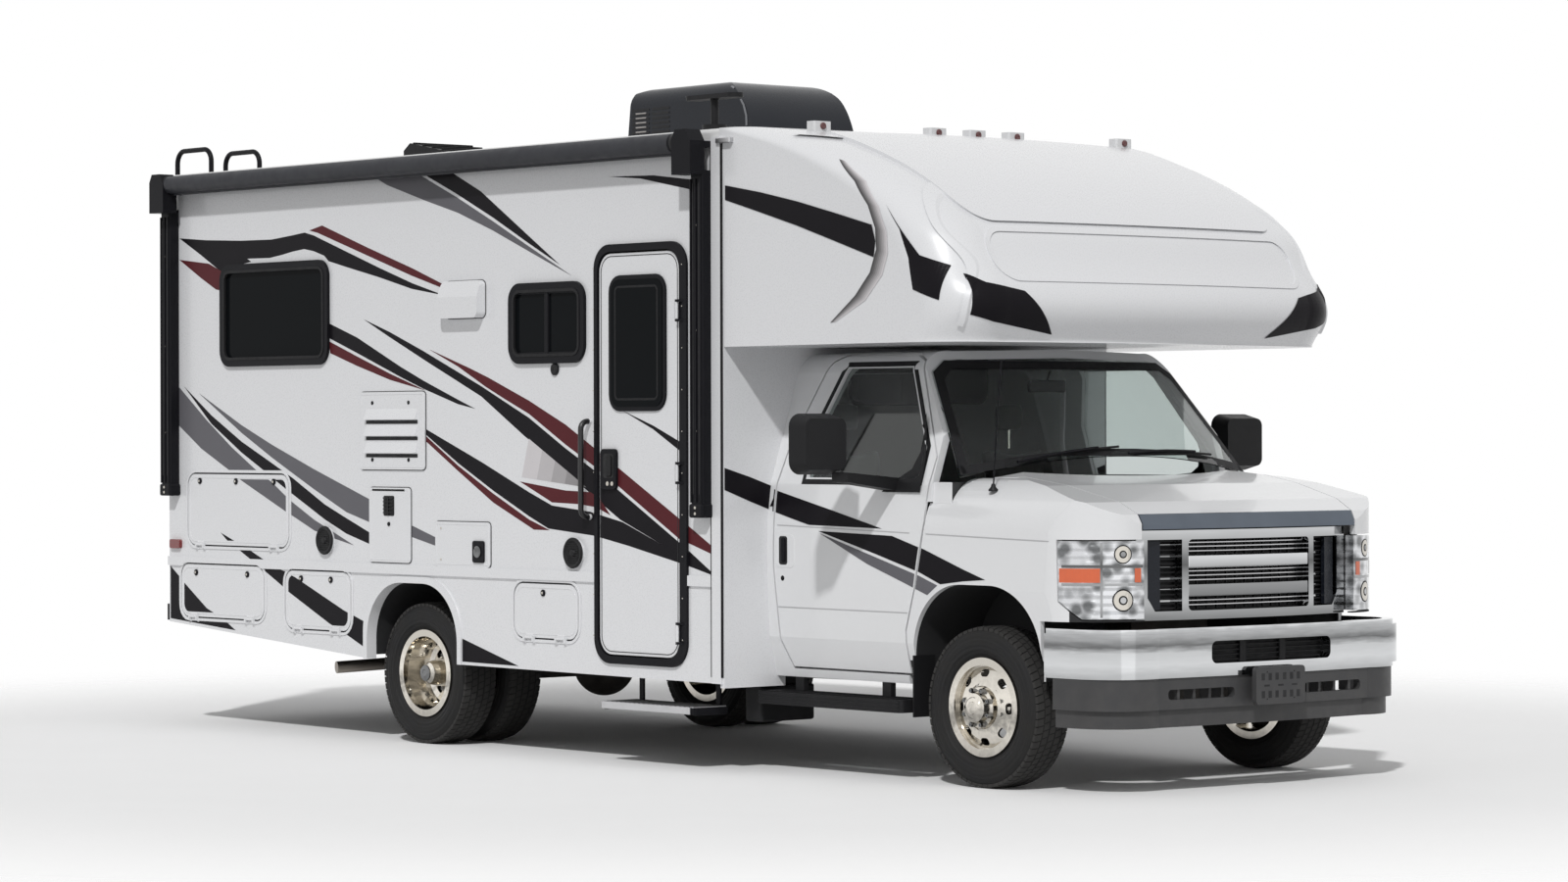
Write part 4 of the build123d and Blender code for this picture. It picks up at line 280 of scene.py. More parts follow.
def lamp_lens():
    """Clear lens over a bright reflector with fluted panels."""
    mat, tree, shader, coords = new_material("lamp_lens")
    steps = add(tree, "TexVoronoi", {"Vector": coords, "Scale": 17.0}, "Distance")
    put(tree, shader, {"Base Color": mix(tree, spread(tree, steps, 0.0, 1.0), (0.14, 0.145, 0.15),
        (0.66, 0.67, 0.69)), "Roughness": spread(tree, noise(tree, coords, 60.0), 0.04, 0.14),
        "Metallic": 0.9, "Coat Weight": 1.0})
    flutes = add(tree, "TexWave", {"Vector": coords, "Scale": 9.0}, "Fac", bands_direction="Z")
    bump(tree, shader, flutes, 0.5, 0.008)
    return mat


def woven_fabric():
    """Charcoal seat cloth with a visible weave."""
    mat, tree, shader, coords = new_material("seat_cloth")
    weave = maths(tree, "MAXIMUM", *(add(tree, "TexWave", {"Vector": coords, "Scale": 160.0,
        "Distortion": 0.6}, "Fac", bands_direction=way) for way in ("X", "Z")))
    put(tree, shader, {"Base Color": mix(tree, weave, (0.022, 0.022, 0.023), (0.058, 0.056, 0.053)),
        "Roughness": spread(tree, noise(tree, coords, 30.0), 0.8, 0.95), "Sheen Weight": 0.3})
    bump(tree, shader, weave, 0.5, 0.001)
    return mat


RUBBER = tyre_rubber("tyre_rubber_front", AXLE_X)
REAR_RUBBER = tyre_rubber("tyre_rubber_rear", AXLE_X + REAR_AXLE)
LENS = lamp_lens()
CLOTH = woven_fabric()

# by the start of the nodes' names; where two fit, the later one holds
NODE_FINISH = {
    WHITE: ("side_wall", "rear_wall", "overcab_cap", "transition_panels", "entry_door", "baggage_door"),
    PAINT: ("cab_door",),
    FENDER_PAINT: ("front_fenders",),
    SHELL_PAINT: ("cab_shell",),
    HOOD_PAINT: ("hood",),
    FITTINGS: ("wall_fittings",),
    ROOFING: ("camper_roof",),
    BOARD: ("camper_floor",),
    BLACK_METAL: ("window_frames", "awning", "ladder", "rear_bumper", "entry_step"),
    PLASTIC: ("mirror", "running_boards", "tv_antenna", "roof_vent", "baggage_boxes", "fuel_tank"),
    SHROUD: ("air_conditioner",),
    GREY_PLASTIC: ("front_valance",),
    CABIN: ("dashboard", "steering_wheel"),
    CHASSIS: ("chassis_frame", "front_axle", "rear_axle"),
    IRON: ("engine_block", "knuckle"),
    CHROME: ("grille",),
    BUMPER_CHROME: ("front_bumper",),
    DISC: ("front_wheel", "rear_wheels"),
    EXHAUST: ("exhaust",),
    ROOF_LENS: ("body_lamps",),
    LENS: ("headlamps",),
    SCREEN: ("windshield",),
    TINTED: ("cab_door_glass",),
    PRIVACY: ("window_glass", "entry_door_window"),
    RUBBER: ("front_tyre",),
    REAR_RUBBER: ("rear_tyres",),
    CLOTH: ("cab_seats",),
}
for mat, starts in NODE_FINISH.items():
    for node_name, node in NODES.items():
        if node_name.startswith(starts):
            node.data.materials.clear()
            node.data.materials.append(mat)

# ------------------------------------------------------------------ mesh helpers


def show(name, data):
    obj = bpy.data.objects.new(name, data)
    bpy.context.scene.collection.objects.link(obj)
    return obj


def piece(name, verts, faces, mat, bevel=0.0, body="vehicle"):
    """A mesh in the vehicle's frame that rides on a body."""
    mesh = bpy.data.meshes.new(name)
    mesh.from_pydata([(v[0] + AXLE_X, v[1], v[2]) for v in verts], [], faces)
    mesh.update()
    work = bmesh.new()
    work.from_mesh(mesh)
    bmesh.ops.remove_doubles(work, verts=work.verts, dist=1e-5)
    bmesh.ops.recalc_face_normals(work, faces=work.faces)
    work.to_mesh(mesh)
    work.free()
    obj = show(name, mesh)
    mesh.materials.append(mat)
    if bevel:
        mod = obj.modifiers.new("edges", "BEVEL")
        mod.width = bevel
        mod.segments = 2
        mod.limit_method = "ANGLE"
        mod.harden_normals = False
    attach(obj, body)
    return obj


BOX_FACES = [(0, 1, 3, 2), (4, 6, 7, 5), (0, 4, 5, 1), (2, 3, 7, 6), (0, 2, 6, 4), (1, 5, 7, 3)]


def blocks(name, boxes, mat, bevel=0.002):
    """Boxes with softened edges, as one piece."""
    verts, faces = [], []
    for low, high in boxes:
        faces += [tuple(len(verts) + i for i in face) for face in BOX_FACES]
        verts += [(x, y, z) for x in (low[0], high[0]) for y in (low[1], high[1]) for z in (low[2], high[2])]
    return piece(name, verts, faces, mat, bevel)


def repeat(low, high, pitch, count):
    """The same box over and over, each a pitch further on."""
    return [[[start + i * step for start, step in zip(corner, pitch)] for corner in (low, high)]
            for i in range(count)]


def rounded(cx, cz, width, height, radius, steps=5):
    """A rounded rectangle's points, anticlockwise."""
    points = []
    for corner, (sx, sz) in enumerate(((1, 1), (-1, 1), (-1, -1), (1, -1))):
        for i in range(steps + 1):
            angle = math.radians(90 * corner + 90 * i / steps)
            points.append((cx + sx * (width / 2 - radius) + radius * math.cos(angle),
                cz + sz * (height / 2 - radius) + radius * math.sin(angle)))
    return points


TURNS = {"x": lambda u, v, d: (d, u, v), "y": lambda u, v, d: (u, d, v), "z": lambda u, v, d: (u, v, d)}


def prism(name, outlines, near, far, mat, bevel=0.0015, axis="y", body="vehicle"):
    """Flat outlines drawn out along an axis between two depths."""
    verts, faces = [], []
    turn = TURNS[axis]
    for points in outlines:
        start, count = len(verts), len(points)
        verts += [turn(u, v, near) for u, v in points] + [turn(u, v, far) for u, v in points]
        faces += [tuple(range(start, start + count)), tuple(range(start + count, start + 2 * count))]
        faces += [(start + i, start + (i + 1) % count, start + count + (i + 1) % count, start + count + i)
            for i in range(count)]
    return piece(name, verts, faces, mat, bevel, body=body)


def ring(name, outer, inner, near, far, mat, bevel=0.002, axis="y", body="vehicle"):
    """A frame between two outlines with the same number of points."""
    count = len(outer)
    verts = [TURNS[axis](u, v, depth) for depth in (near, far) for points in (outer, inner)
        for u, v in points]
    faces = []
    for i in range(count):
        j = (i + 1) % count
        for a, b in ((0, 2), (1, 3)):
            faces.append((a * count + i, a * count + j, b * count + j, b * count + i))
        for a, b in ((0, 1), (2, 3)):
            faces.append((a * count + i, b * count + i, b * count + j, a * count + j))
    return piece(name, verts, faces, mat, bevel, body=body)


def tube(name, points, radius, mat):
    """A round bar that follows a line of points."""
    curve = bpy.data.curves.new(name, "CURVE")
    curve.dimensions = "3D"
    curve.bevel_depth = radius
    curve.bevel_resolution = 3
    curve.use_fill_caps = True
    spline = curve.splines.new("NURBS")
    spline.points.add(len(points) - 1)
    for point, (x, y, z) in zip(spline.points, points):
        point.co = (x + AXLE_X, y, z, 1)
    spline.order_u = 3
    spline.use_endpoint_u = True
    curve.materials.append(mat)
    obj = show(name, curve)
    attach(obj, "vehicle")
    return obj


def turned(name, places, axis, profile, mat, turns, caps, body):
    """Rings of (along, radius) pairs round an axis, at each place; caps are the rings that a face closes."""
    axis = Vector(axis).normalized()
    side = axis.orthogonal().normalized()
    up = axis.cross(side)
    verts, faces = [], []
    for place in places:
        start = len(verts)
        for along, radius in profile:
            for i in range(turns):
                angle = 2 * math.pi * i / turns
                verts.append(Vector(place) + axis * along + (side * math.cos(angle)
                    + up * math.sin(angle)) * radius)
        for here in range(start, len(verts) - turns, turns):
            faces += [(here + i, here + j, here + turns + j, here + turns + i)
                for i, j in ((i, (i + 1) % turns) for i in range(turns))]
        faces += [tuple(range(start + row * turns, start + (row + 1) * turns)) for row in caps]
    return piece(name, verts, faces, mat, body=body)


def lathe(name, centre, axis, profile, mat, turns=32, body="vehicle"):
    """A smooth turned piece, closed at both ends."""
    obj = turned(name, [centre], axis, profile, mat, turns, (0, len(profile) - 1), body=body)
    for poly in obj.data.polygons:
        poly.use_smooth = len(poly.vertices) == 4
    mod = obj.modifiers.new("edges", "EDGE_SPLIT")
    mod.split_angle = math.radians(40)
    return obj


def studs(name, places, radius, height, mat, axis=(0, -1, 0), turns=16, body="vehicle"):
    """Small round heads, dished in the middle."""
    profile = [(0, radius), (height * 0.7, radius), (height, radius * 0.8), (height, radius * 0.3),
        (height * 0.8, 0.0005)]
    return turned(name, places, axis, profile, mat, turns, (0,), body=body)


# ------------------------------------------------------------------ livery

FILM, LAYER = 0.0006, 0.0001


def clip(points, start, end, inside):
    """The part of a convex outline on one side of a line."""
    sign = 1 if inside else -1
    span = (end[0] - start[0], end[1] - start[1])
    depth = [sign * (span[0] * (p[1] - start[1]) - span[1] * (p[0] - start[0])) for p in points]
    kept = []
    for i, point in enumerate(points):
        j = (i + 1) % len(points)
        if depth[i] >= 0:
            kept.append(point)
        if depth[i] * depth[j] < 0:
            share = depth[i] / (depth[i] - depth[j])
            kept.append((point[0] + share * (points[j][0] - point[0]), point[1]
                + share * (points[j][1] - point[1])))
    return kept if len(kept) > 2 else []


def split_by(tiles, outline):
    """Convex tiles, parted into those inside and those outside a convex outline."""
    inner, outer = [], []
    for tile in tiles:
        rest = tile
        for i, start in enumerate(outline):
            end = outline[(i + 1) % len(outline)]
            cut = clip(rest, start, end, False)
            if cut:
                outer.append(cut)
            rest = clip(rest, start, end, True)
            if not rest:
                break
        if rest:
            inner.append(rest)
    return inner, outer


def triangles(points):
    flat = [Vector((x, z, 0)) for x, z in points]
    return [[points[i] for i in tri] for tri in geometry.tessellate_polygon([flat])]


def grid_tiles(tiles, step):
    """The same tiles cut along a square grid, so that they can follow a curved skin."""
    cut = []
    for tile in tiles:
        columns = [tile]
        for axis in (0, 1):
            done = []
            for part in columns:
                low = min(p[axis] for p in part)
                high = max(p[axis] for p in part)
                line = math.floor(low / step) * step + step
                while line < high and part:
                    a = (line, 0) if axis == 0 else (0, line)
                    b = (line, 1) if axis == 0 else (-1, line)
                    left = clip(part, a, b, True)
                    if left:
                        done.append(left)
                    part = clip(part, a, b, False)
                    line += step
                if part:
                    done.append(part)
            columns = done
        cut += columns
    return cut


def film(name, tiles, side, mat, proud, body="vehicle"):
    """Vinyl on the flat wall."""
    if not tiles:
        return
    verts, faces = [], []
    for tile in tiles:
        faces.append(tuple(range(len(verts), len(verts) + len(tile))))
        verts += [(x, side * (WALL_Y + proud + FILM), z) for x, z in tile]
    piece(name, verts, faces, mat, body=body)


def strip(first, second):
    """Quads between two lines with the same number of points."""
    return [[first[i], first[i + 1], second[i + 1], second[i]] for i in range(len(first) - 1)]


def skin_of(*names):
    """The surface of some CAD nodes, to lay film on."""
    verts, faces = [], []
    for node in names:
        start = len(verts)
        verts += [v.co.copy() for v in NODES[node].data.vertices]
        faces += [[start + i for i in p.vertices] for p in NODES[node].data.polygons]
    return BVHTree.FromPolygons(verts, faces)


def wrap_film(name, tiles, skin, place, mat, step=0.03, lift=0.001, body="vehicle"):
    """Vinyl laid on a curved skin: place() turns a flat point into a ray's start and direction."""
    verts, faces = [], []
    for tile in grid_tiles(tiles, step):
        laid = []
        for point in tile:
            start, direction = place(*point)
            hit, normal, _, _ = skin.ray_cast(Vector((start[0] + AXLE_X, start[1], start[2])),
                Vector(direction).normalized())
            if hit is None:
                laid = []
                break
            if normal.dot(Vector(direction)) > 0:
                normal = -normal
            hit = hit + normal * lift
            laid.append((hit.x - AXLE_X, hit.y, hit.z))
        if laid:
            faces.append(tuple(range(len(verts), len(verts) + len(laid))))
            verts += laid
    if faces:
        piece(name, verts, faces, mat, body=body)


RAY_SIDE, RAY_AHEAD = 1.6, 1.5


def from_side(side):
    """Places (x, z) as rays that meet the skin square on from one side."""
    return lambda x, z: ((x, side * RAY_SIDE, z), (0, -side, 0))


def from_front(side):
    """Places (y, z) as rays that meet the skin from ahead, with y measured towards one side."""
    return lambda y, z: ((RAY_AHEAD, side * y, z), (-1, 0, 0))


BLACK_SHAPES = [
    # crest band over the rear window, then falling forwards
    [(-6.22, 2.703), (-5.95, 2.683), (-5.6, 2.668), (-5.3, 2.664), (-5.12, 2.678), (-4.985, 2.69),
     (-4.9, 2.672), (-4.6, 2.577), (-4.3, 2.482), (-4.0, 2.392), (-3.72, 2.322), (-4.0, 2.362),
     (-4.3, 2.432), (-4.6, 2.495), (-4.76, 2.53), (-4.8, 2.56), (-4.9, 2.588), (-4.99, 2.602),
     (-5.1, 2.592), (-5.2, 2.578), (-5.32, 2.565), (-5.54, 2.568), (-5.5, 2.55), (-5.68, 2.53),
     (-5.77, 2.49), (-6.0, 2.602)],
    # band from the rear window
    [(-4.76, 2.2), (-4.5, 2.12), (-4.1, 1.958), (-3.9, 1.885), (-3.6, 1.785), (-3.45, 1.737),
     (-3.6, 1.762), (-3.9, 1.843), (-4.1, 1.905), (-4.5, 2.038), (-4.755, 2.12)],
    # the long band down to the front corner
    [(-4.44, 2.215), (-4.2, 2.142), (-3.9, 2.038), (-3.4, 1.852), (-3.0, 1.69), (-2.7, 1.537),
     (-2.46, 1.425), (-2.276, 1.335), (-1.8, 1.085), (-1.526, 0.928), (-2.26, 1.19), (-2.5, 1.315),
     (-2.84, 1.5), (-3.04, 1.6), (-3.4, 1.8), (-3.9, 1.995), (-4.2, 2.115)],
    [(-3.88, 1.635), (-3.4, 1.467), (-3.0, 1.317), (-2.81, 1.252), (-2.5, 1.225), (-2.24, 1.178),
     (-1.9, 1.062), (-1.526, 0.928), (-1.8, 0.988), (-2.2, 1.064), (-2.46, 1.107), (-2.84, 1.137),
     (-3.0, 1.196), (-3.3, 1.322), (-3.6, 1.46), (-3.88, 1.606)],
    # streaks under the awning
    [(-3.88, 2.946), (-3.64, 2.946), (-3.4, 2.842), (-3.0, 2.602), (-2.74, 2.447), (-3.0, 2.565),
     (-3.3, 2.706), (-3.6, 2.835)],
    [(-2.35, 2.868), (-2.0, 2.858), (-1.72, 2.826), (-1.53, 2.802), (-1.53, 2.746), (-1.72, 2.778),
     (-2.1, 2.847)],
    # rear lower bands
    [(-6.18, 1.88), (-5.9, 1.715), (-5.6, 1.57), (-5.3, 1.452), (-5.1, 1.372), (-4.8, 1.235),
     (-4.6, 1.165), (-4.38, 1.09), (-4.38, 1.03), (-4.6, 1.083), (-4.8, 1.155), (-5.1, 1.285),
     (-5.38, 1.412), (-5.6, 1.51), (-5.9, 1.668)],
    [(-5.806, 1.07), (-5.54, 0.984), (-5.32, 0.906), (-5.076, 0.84), (-4.62, 0.676), (-4.394, 0.61),
     (-4.398, 0.472), (-4.62, 0.556), (-4.76, 0.604), (-5.13, 0.756), (-5.38, 0.87), (-5.57, 0.952),
     (-5.745, 1.03)],
    [(-6.32, 0.876), (-6.2, 0.8), (-5.945, 0.648), (-5.8, 0.602), (-5.664, 0.536), (-6.32, 0.582)],
    # skirt wedge and door streak
    [(-3.573, 0.565), (-3.09, 0.442), (-3.573, 0.446)],
    [(-2.24, 1.722), (-2.0, 1.648), (-1.8, 1.572), (-1.8, 1.528), (-2.0, 1.63)],
]
GREY_SHAPES = [
    [(-4.31, 2.946), (-3.92, 2.946), (-3.6, 2.818), (-3.3, 2.687), (-3.0, 2.55), (-2.644, 2.39),
     (-3.0, 2.525), (-3.3, 2.64), (-3.6, 2.742), (-3.9, 2.82), (-4.22, 2.91)],
    [(-6.23, 1.876), (-5.95, 1.69), (-5.7, 1.54), (-5.46, 1.416), (-5.3, 1.35), (-5.11, 1.245),
     (-4.9, 1.152), (-4.7, 1.082), (-4.53, 1.022), (-4.7, 1.053), (-4.9, 1.095), (-5.11, 1.172),
     (-5.164, 1.192), (-5.6, 1.358), (-5.73, 1.416), (-6.0, 1.53), (-6.23, 1.66)],
    [(-6.03, 1.84), (-5.6, 1.66), (-5.3, 1.552), (-4.9, 1.422), (-4.38, 1.265), (-4.38, 1.145),
     (-4.6, 1.197), (-4.9, 1.315), (-5.1, 1.398), (-5.3, 1.482), (-5.6, 1.618)],
    [(-4.01, 1.136), (-3.8, 1.078), (-3.8, 1.034), (-4.01, 1.076)],
]
MAROON_SHAPES = [
    [(-4.94, 2.7), (-4.82, 2.722), (-4.4, 2.59), (-4.0, 2.47), (-3.705, 2.372), (-3.705, 2.352),
     (-4.0, 2.43), (-4.4, 2.548), (-4.86, 2.684)],
    [(-6.22, 2.583), (-5.92, 2.552), (-5.77, 2.498), (-5.77, 2.398), (-5.85, 2.408), (-6.0, 2.475)],
    [(-4.755, 2.103), (-4.5, 2.02), (-4.2, 1.925), (-3.88, 1.834), (-4.2, 1.893), (-4.5, 1.97),
     (-4.745, 2.04)],
    [(-3.85, 2.046), (-3.5, 1.945), (-3.34, 1.895), (-3.0, 1.776), (-2.7, 1.655), (-2.46, 1.535),
     (-2.276, 1.444), (-1.8, 1.2), (-1.526, 1.055), (-1.526, 1.025), (-1.8, 1.102), (-2.276, 1.355),
     (-2.46, 1.445), (-2.7, 1.556), (-3.0, 1.71), (-3.2, 1.785), (-3.36, 1.848), (-3.6, 1.955)],
    [(-3.876, 1.597), (-3.6, 1.447), (-3.3, 1.307), (-3.0, 1.18), (-2.83, 1.129), (-2.96, 1.13),
     (-3.3, 1.262), (-3.6, 1.42), (-3.876, 1.57)],
    [(-3.076, 1.37), (-2.7, 1.328), (-2.5, 1.322), (-2.42, 1.29), (-2.335, 1.21), (-2.45, 1.248),
     (-2.6, 1.262), (-2.81, 1.268)],
]
FILMS = {"black": (BLACK_VINYL, BLACK_SHAPES), "grey": (GREY_VINYL, GREY_SHAPES),
    "maroon": (MAROON_VINYL, MAROON_SHAPES)}

REAR_WINDOW = (-5.27, 2.26, 1.04, 0.56, 0.09)
SLIDER = (-2.84, 2.162, 0.62, 0.405, 0.09)
DINETTE = (-2.85, 2.06, 1.15, 0.64, 0.09)
ENTRY = (-2.109, 1.51, 0.622, 1.96, 0.09)
ENTRY_WINDOW = (-2.115, 2.05, 0.4, 0.62, 0.06)
HATCHES = {"rear_upper": (-5.635, 1.195, 0.99, 0.39, 0.07), "rear_lower": (-5.79, 0.745, 0.82, 0.29, 0.07),
    "middle": (-4.865, 0.722, 0.61, 0.31, 0.07), "front": (-2.86, 0.725, 0.52, 0.27, 0.07)}
LEFT_HATCH = (-2.95, 0.7, 0.82, 0.3, 0.07)
PANELS = [(-4.17, 1.627, 0.58, 0.405, 0.022), (-4.195, 1.135, 0.37, 0.39, 0.022),
    (-3.555, 1.045, 0.47, 0.23, 0.022), (-3.53, 2.295, 0.34, 0.19, 0.03)]
ARCH = (REAR_AXLE + 0.013, 0.45, 0.868, 0.84, 0.3)
RUB_RAIL = (-3.915, 0.905, 4.86, 0.05, 0.002)


def grown(shape, by):
    x, z, width, height, radius = shape
    return rounded(x, z, width + 2 * by, height + 2 * by, max(radius + by, 0.002))


def wall_films(hand, holes, doors):
    side = SIDES[hand]
    for layer, (colour, (mat, shapes)) in enumerate(FILMS.items()):
        tiles = [t for s in shapes for t in triangles(s)]
        for hole in holes:
            _, tiles = split_by(tiles, hole)
        for body, shape, inset, proud, window in doors:
            inner, tiles = split_by(tiles, grown(shape, 0.012))
            inner, _ = split_by(inner, grown(shape, -inset))
            if window:
                _, inner = split_by(inner, grown(window, 0.004))
            film(f"livery_{hand}_{colour}_{body}", inner, side, mat, proud + layer * LAYER, body=body)
        film(f"livery_{hand}_{colour}_wall", tiles, side, mat, layer * LAYER)


shared_holes = [grown(REAR_WINDOW, 0.0), rounded(*RUB_RAIL, 1), grown(ARCH, 0.0)]
wall_films("right", shared_holes + [grown(SLIDER, 0.0)] + [grown(p, 0.0) for p in PANELS],
    [("entry_door", ENTRY, 0.002, 0.004, ENTRY_WINDOW)] + [(f"baggage_door_{n}", s, 0.026, 0.003, None)
    for n, s in HATCHES.items()])
wall_films("left", shared_holes + [grown(DINETTE, 0.0)], [("baggage_door_left", LEFT_HATCH, 0.026, 0.003,
    None)])

# ------------------------------------------------------------------ livery on the nose and the cab


def laid(name, shapes, skin, place, mat, holes=(), cuts=(), step=0.03, lift=0.0012, body="vehicle"):
    tiles = [t for s in shapes for t in triangles(s)]
    for hole in holes:
        _, tiles = split_by(tiles, hole)
    for start, end, inside in cuts:
        tiles = [t for t in (clip(t, start, end, inside) for t in tiles) if t]
    wrap_film(name, tiles, skin, place, mat, step, lift, body=body)


NOSE_SIDE_BLACK = [
    [(-1.455, 2.785), (-1.2, 2.742), (-0.93, 2.687), (-0.66, 2.622), (-0.41, 2.559), (-0.385, 2.485),
     (-0.397, 2.411), (-0.66, 2.492), (-0.93, 2.574), (-1.2, 2.648), (-1.455, 2.716)],
    [(-0.33, 2.648), (-0.108, 2.411), (0.03, 2.362), (0.02, 2.205), (-0.133, 2.257), (-0.165, 2.401),
     (-0.229, 2.533)],
]
CRESCENT_IN = [(-0.696, 2.873), (-0.541, 2.764), (-0.439, 2.652), (-0.388, 2.544), (-0.381, 2.447),
    (-0.425, 2.342), (-0.528, 2.238), (-0.699, 2.119)]
CRESCENT_OUT = [(-0.66, 2.862), (-0.482, 2.761), (-0.366, 2.639), (-0.308, 2.521), (-0.301, 2.425),
    (-0.338, 2.329), (-0.455, 2.216), (-0.665, 2.121)]
FRONT_BAND = [(1.16, 2.325), (1.088, 2.285), (0.9, 2.248), (0.8, 2.15), (0.7, 2.056), (0.893, 2.085),
    (1.06, 2.11), (1.165, 2.14)]
TRANSITION_BAND = [(1.268, 1.446), (1.108, 1.401), (0.975, 1.358), (0.975, 1.24), (1.108, 1.284),
    (1.268, 1.341)]
CAB_BLACK = [
    [(-1.47, 1.352), (-1.42, 1.336), (-1.0, 1.245), (-0.65, 1.166), (-1.17, 1.176), (-1.3, 1.205),
     (-1.47, 1.245)],
    [(-1.1, 1.148), (-0.58, 1.134), (-0.36, 1.075), (-0.1, 0.99), (0.05, 0.945), (-0.1, 0.935),
     (-0.25, 0.918), (-0.4, 0.972), (-0.7, 1.05)],
]
CAB_GREY = [[(-1.09, 1.138), (-0.7, 1.035), (-0.4, 0.955), (-0.27, 0.912), (-0.34, 0.866), (-0.5, 0.92),
    (-0.75, 1.0)]]
FRONT_ARCH = rounded(-0.025, 0.5, 0.85, 0.84, 0.33, 8)
DOOR_FRONT_LOW, DOOR_FRONT_HIGH = (-0.436, 0.9), (-0.372, 1.2)
FENDER_REAR_LOW, FENDER_REAR_HIGH = (-0.418, 0.9), (-0.355, 1.2)
cap_skin = skin_of("overcab_cap")
AIRBRUSH = [finish(f"airbrush_{number}", (grey * 1.02, grey * 0.98, grey), 0.3, 0.03, 8, 900, 0.02, shine=0.3)
    for number, grey in enumerate((0.05, 0.1, 0.17, 0.26, 0.36, 0.47, 0.58))]
# grey for the painted shade in the pressed creases
CREASE_SHADE = finish("painted_crease_shade", (0.42, 0.42, 0.43), 0.3, 0.05, 8, 900, 0.02)
for hand, side in SIDES.items():
    beside, ahead = from_side(side), from_front(side)
    door = f"cab_door_{hand}"
    laid(f"nose_band_{hand}", NOSE_SIDE_BLACK, cap_skin, beside, BLACK_VINYL, step=0.016,
         lift=0.003)
    for number, mat in enumerate(AIRBRUSH):
        edges = [[(a[0] + (b[0] - a[0]) * share, a[1] + (b[1] - a[1]) * share)
            for a, b in zip(CRESCENT_IN, CRESCENT_OUT)] for share in (number / len(AIRBRUSH),
            (number + 1) / len(AIRBRUSH))]
        wrap_film(f"nose_crescent_{number}_{hand}", strip(*edges), cap_skin, beside, mat, step=0.02,
            lift=0.0022)
    laid(f"front_band_{hand}", [FRONT_BAND], cap_skin, ahead, BLACK_VINYL, step=0.016,
         lift=0.0034)
    laid(f"transition_band_{hand}", [TRANSITION_BAND], skin_of("transition_panels"), ahead, BLACK_VINYL)
    for colour, mat, shapes in (("black", BLACK_VINYL, CAB_BLACK), ("grey", GREY_VINYL, CAB_GREY)):
        laid(f"cab_{colour}_door_{hand}", shapes, skin_of(door), beside, mat,
             cuts=[(DOOR_FRONT_LOW, DOOR_FRONT_HIGH, True), ((-1.416, 0), (-1.416, 2), False)], body=door)
        laid(f"cab_{colour}_fender_{hand}", shapes, skin_of("front_fenders"), beside, mat,
             holes=[FRONT_ARCH], cuts=[(FENDER_REAR_LOW, FENDER_REAR_HIGH, False)])
        laid(f"cab_{colour}_rear_{hand}", shapes, skin_of("cab_shell"), beside, mat,
             cuts=[((-1.432, 0), (-1.432, 2), True)])

# grey wedge beside the door that fades to the wall's white
TIP, HIGH, LOW = (-2.53, 1.345), (-3.0, 1.585), (-3.06, 1.392)
for number, mat in enumerate(AIRBRUSH[2:]):
    near, far = (number / 5) ** 1.2, ((number + 1) / 5) ** 1.2
    corners = [(TIP[0] + (end[0] - TIP[0]) * share, TIP[1] + (end[1] - TIP[1]) * share)
        for end, share in ((HIGH, near), (HIGH, far), (LOW, far), (LOW, near))]
    film(f"wall_fade_{number}", [corners[1:] if number == 0 else corners], -1, mat, 0.0002)

# ------------------------------------------------------------------ camper walls

OUT = -WALL_Y


def edging(name, shape, outer, inner, near, far, mat, bevel=0.002, side=-1, body="vehicle"):
    """A ring round a shape on a side wall, between two heights above its skin."""
    ring(name, grown(shape, outer), grown(shape, inner), side * (WALL_Y + near), side * (WALL_Y + far), mat,
        bevel, body=body)


def window_trim(name, shape, side, split=None):
    edging(f"{name}_bead", shape, -0.034, -0.05, 0.006, 0.022, SEAL, side=side)
    if split:
        x, z, width, height, _ = shape
        reach, edge = width / 2 - 0.05, height / 2 - 0.04
        blocks(f"{name}_mullion", [((split - 0.016, side * 1.262, z - edge),
            (split + 0.016, side * 1.284, z + edge))], BLACK_METAL, 0.004)
        blocks(f"{name}_track", [((x - reach, side * 1.27, line - 0.005),
            (x + reach, side * 1.281, line + 0.005)) for line in (z - height / 2 + 0.052,
            z + height / 2 - 0.052)], BLACK_METAL)


window_trim("rear_window_right", REAR_WINDOW, -1)
window_trim("rear_window_left", REAR_WINDOW, 1)
window_trim("slider_window", SLIDER, -1, split=SLIDER[0])
window_trim("dinette_window", DINETTE, 1, split=DINETTE[0] - 0.18)

# entry door: window surround, painted shade in the seam, latch with a recess of painted shade, locks and the
# frame's screws
for name, shape, outer, inner, near, far, mat, bevel in (
        ("window_surround", ENTRY_WINDOW, 0.022, -0.034, 0.003, 0.015, BLACK_METAL, 0.004),
        ("window_bead", ENTRY_WINDOW, -0.03, -0.042, 0.002, 0.02, SEAL, 0.003),
        ("door_seam", ENTRY, -0.012, -0.016, 0.003, 0.0055, PAINTED_SHADE, 0.0)):
    edging(f"entry_{name}", shape, outer, inner, near, far, mat, bevel, body="entry_door")
for name, shape, near, far, mat, bevel in (
        ("case", (-2.336, 1.435, 0.125, 0.2, 0.022), 0.003, 0.021, BLACK_METAL, 0.004),
        ("recess", (-2.33, 1.452, 0.082, 0.12, 0.016), 0.0205, 0.0225, PAINTED_SHADE, 0.0),
        ("lever", (-2.32, 1.452, 0.04, 0.1, 0.012), 0.022, 0.032, PLASTIC, 0.003)):
    prism(f"entry_latch_{name}", [rounded(*shape)], OUT - near, OUT - far, mat, bevel, body="entry_door")
studs("entry_locks", [(-2.336, OUT - 0.021, 1.365), (-2.3, OUT - 0.021, 1.365)], 0.011, 0.005, DISC,
    body="entry_door")
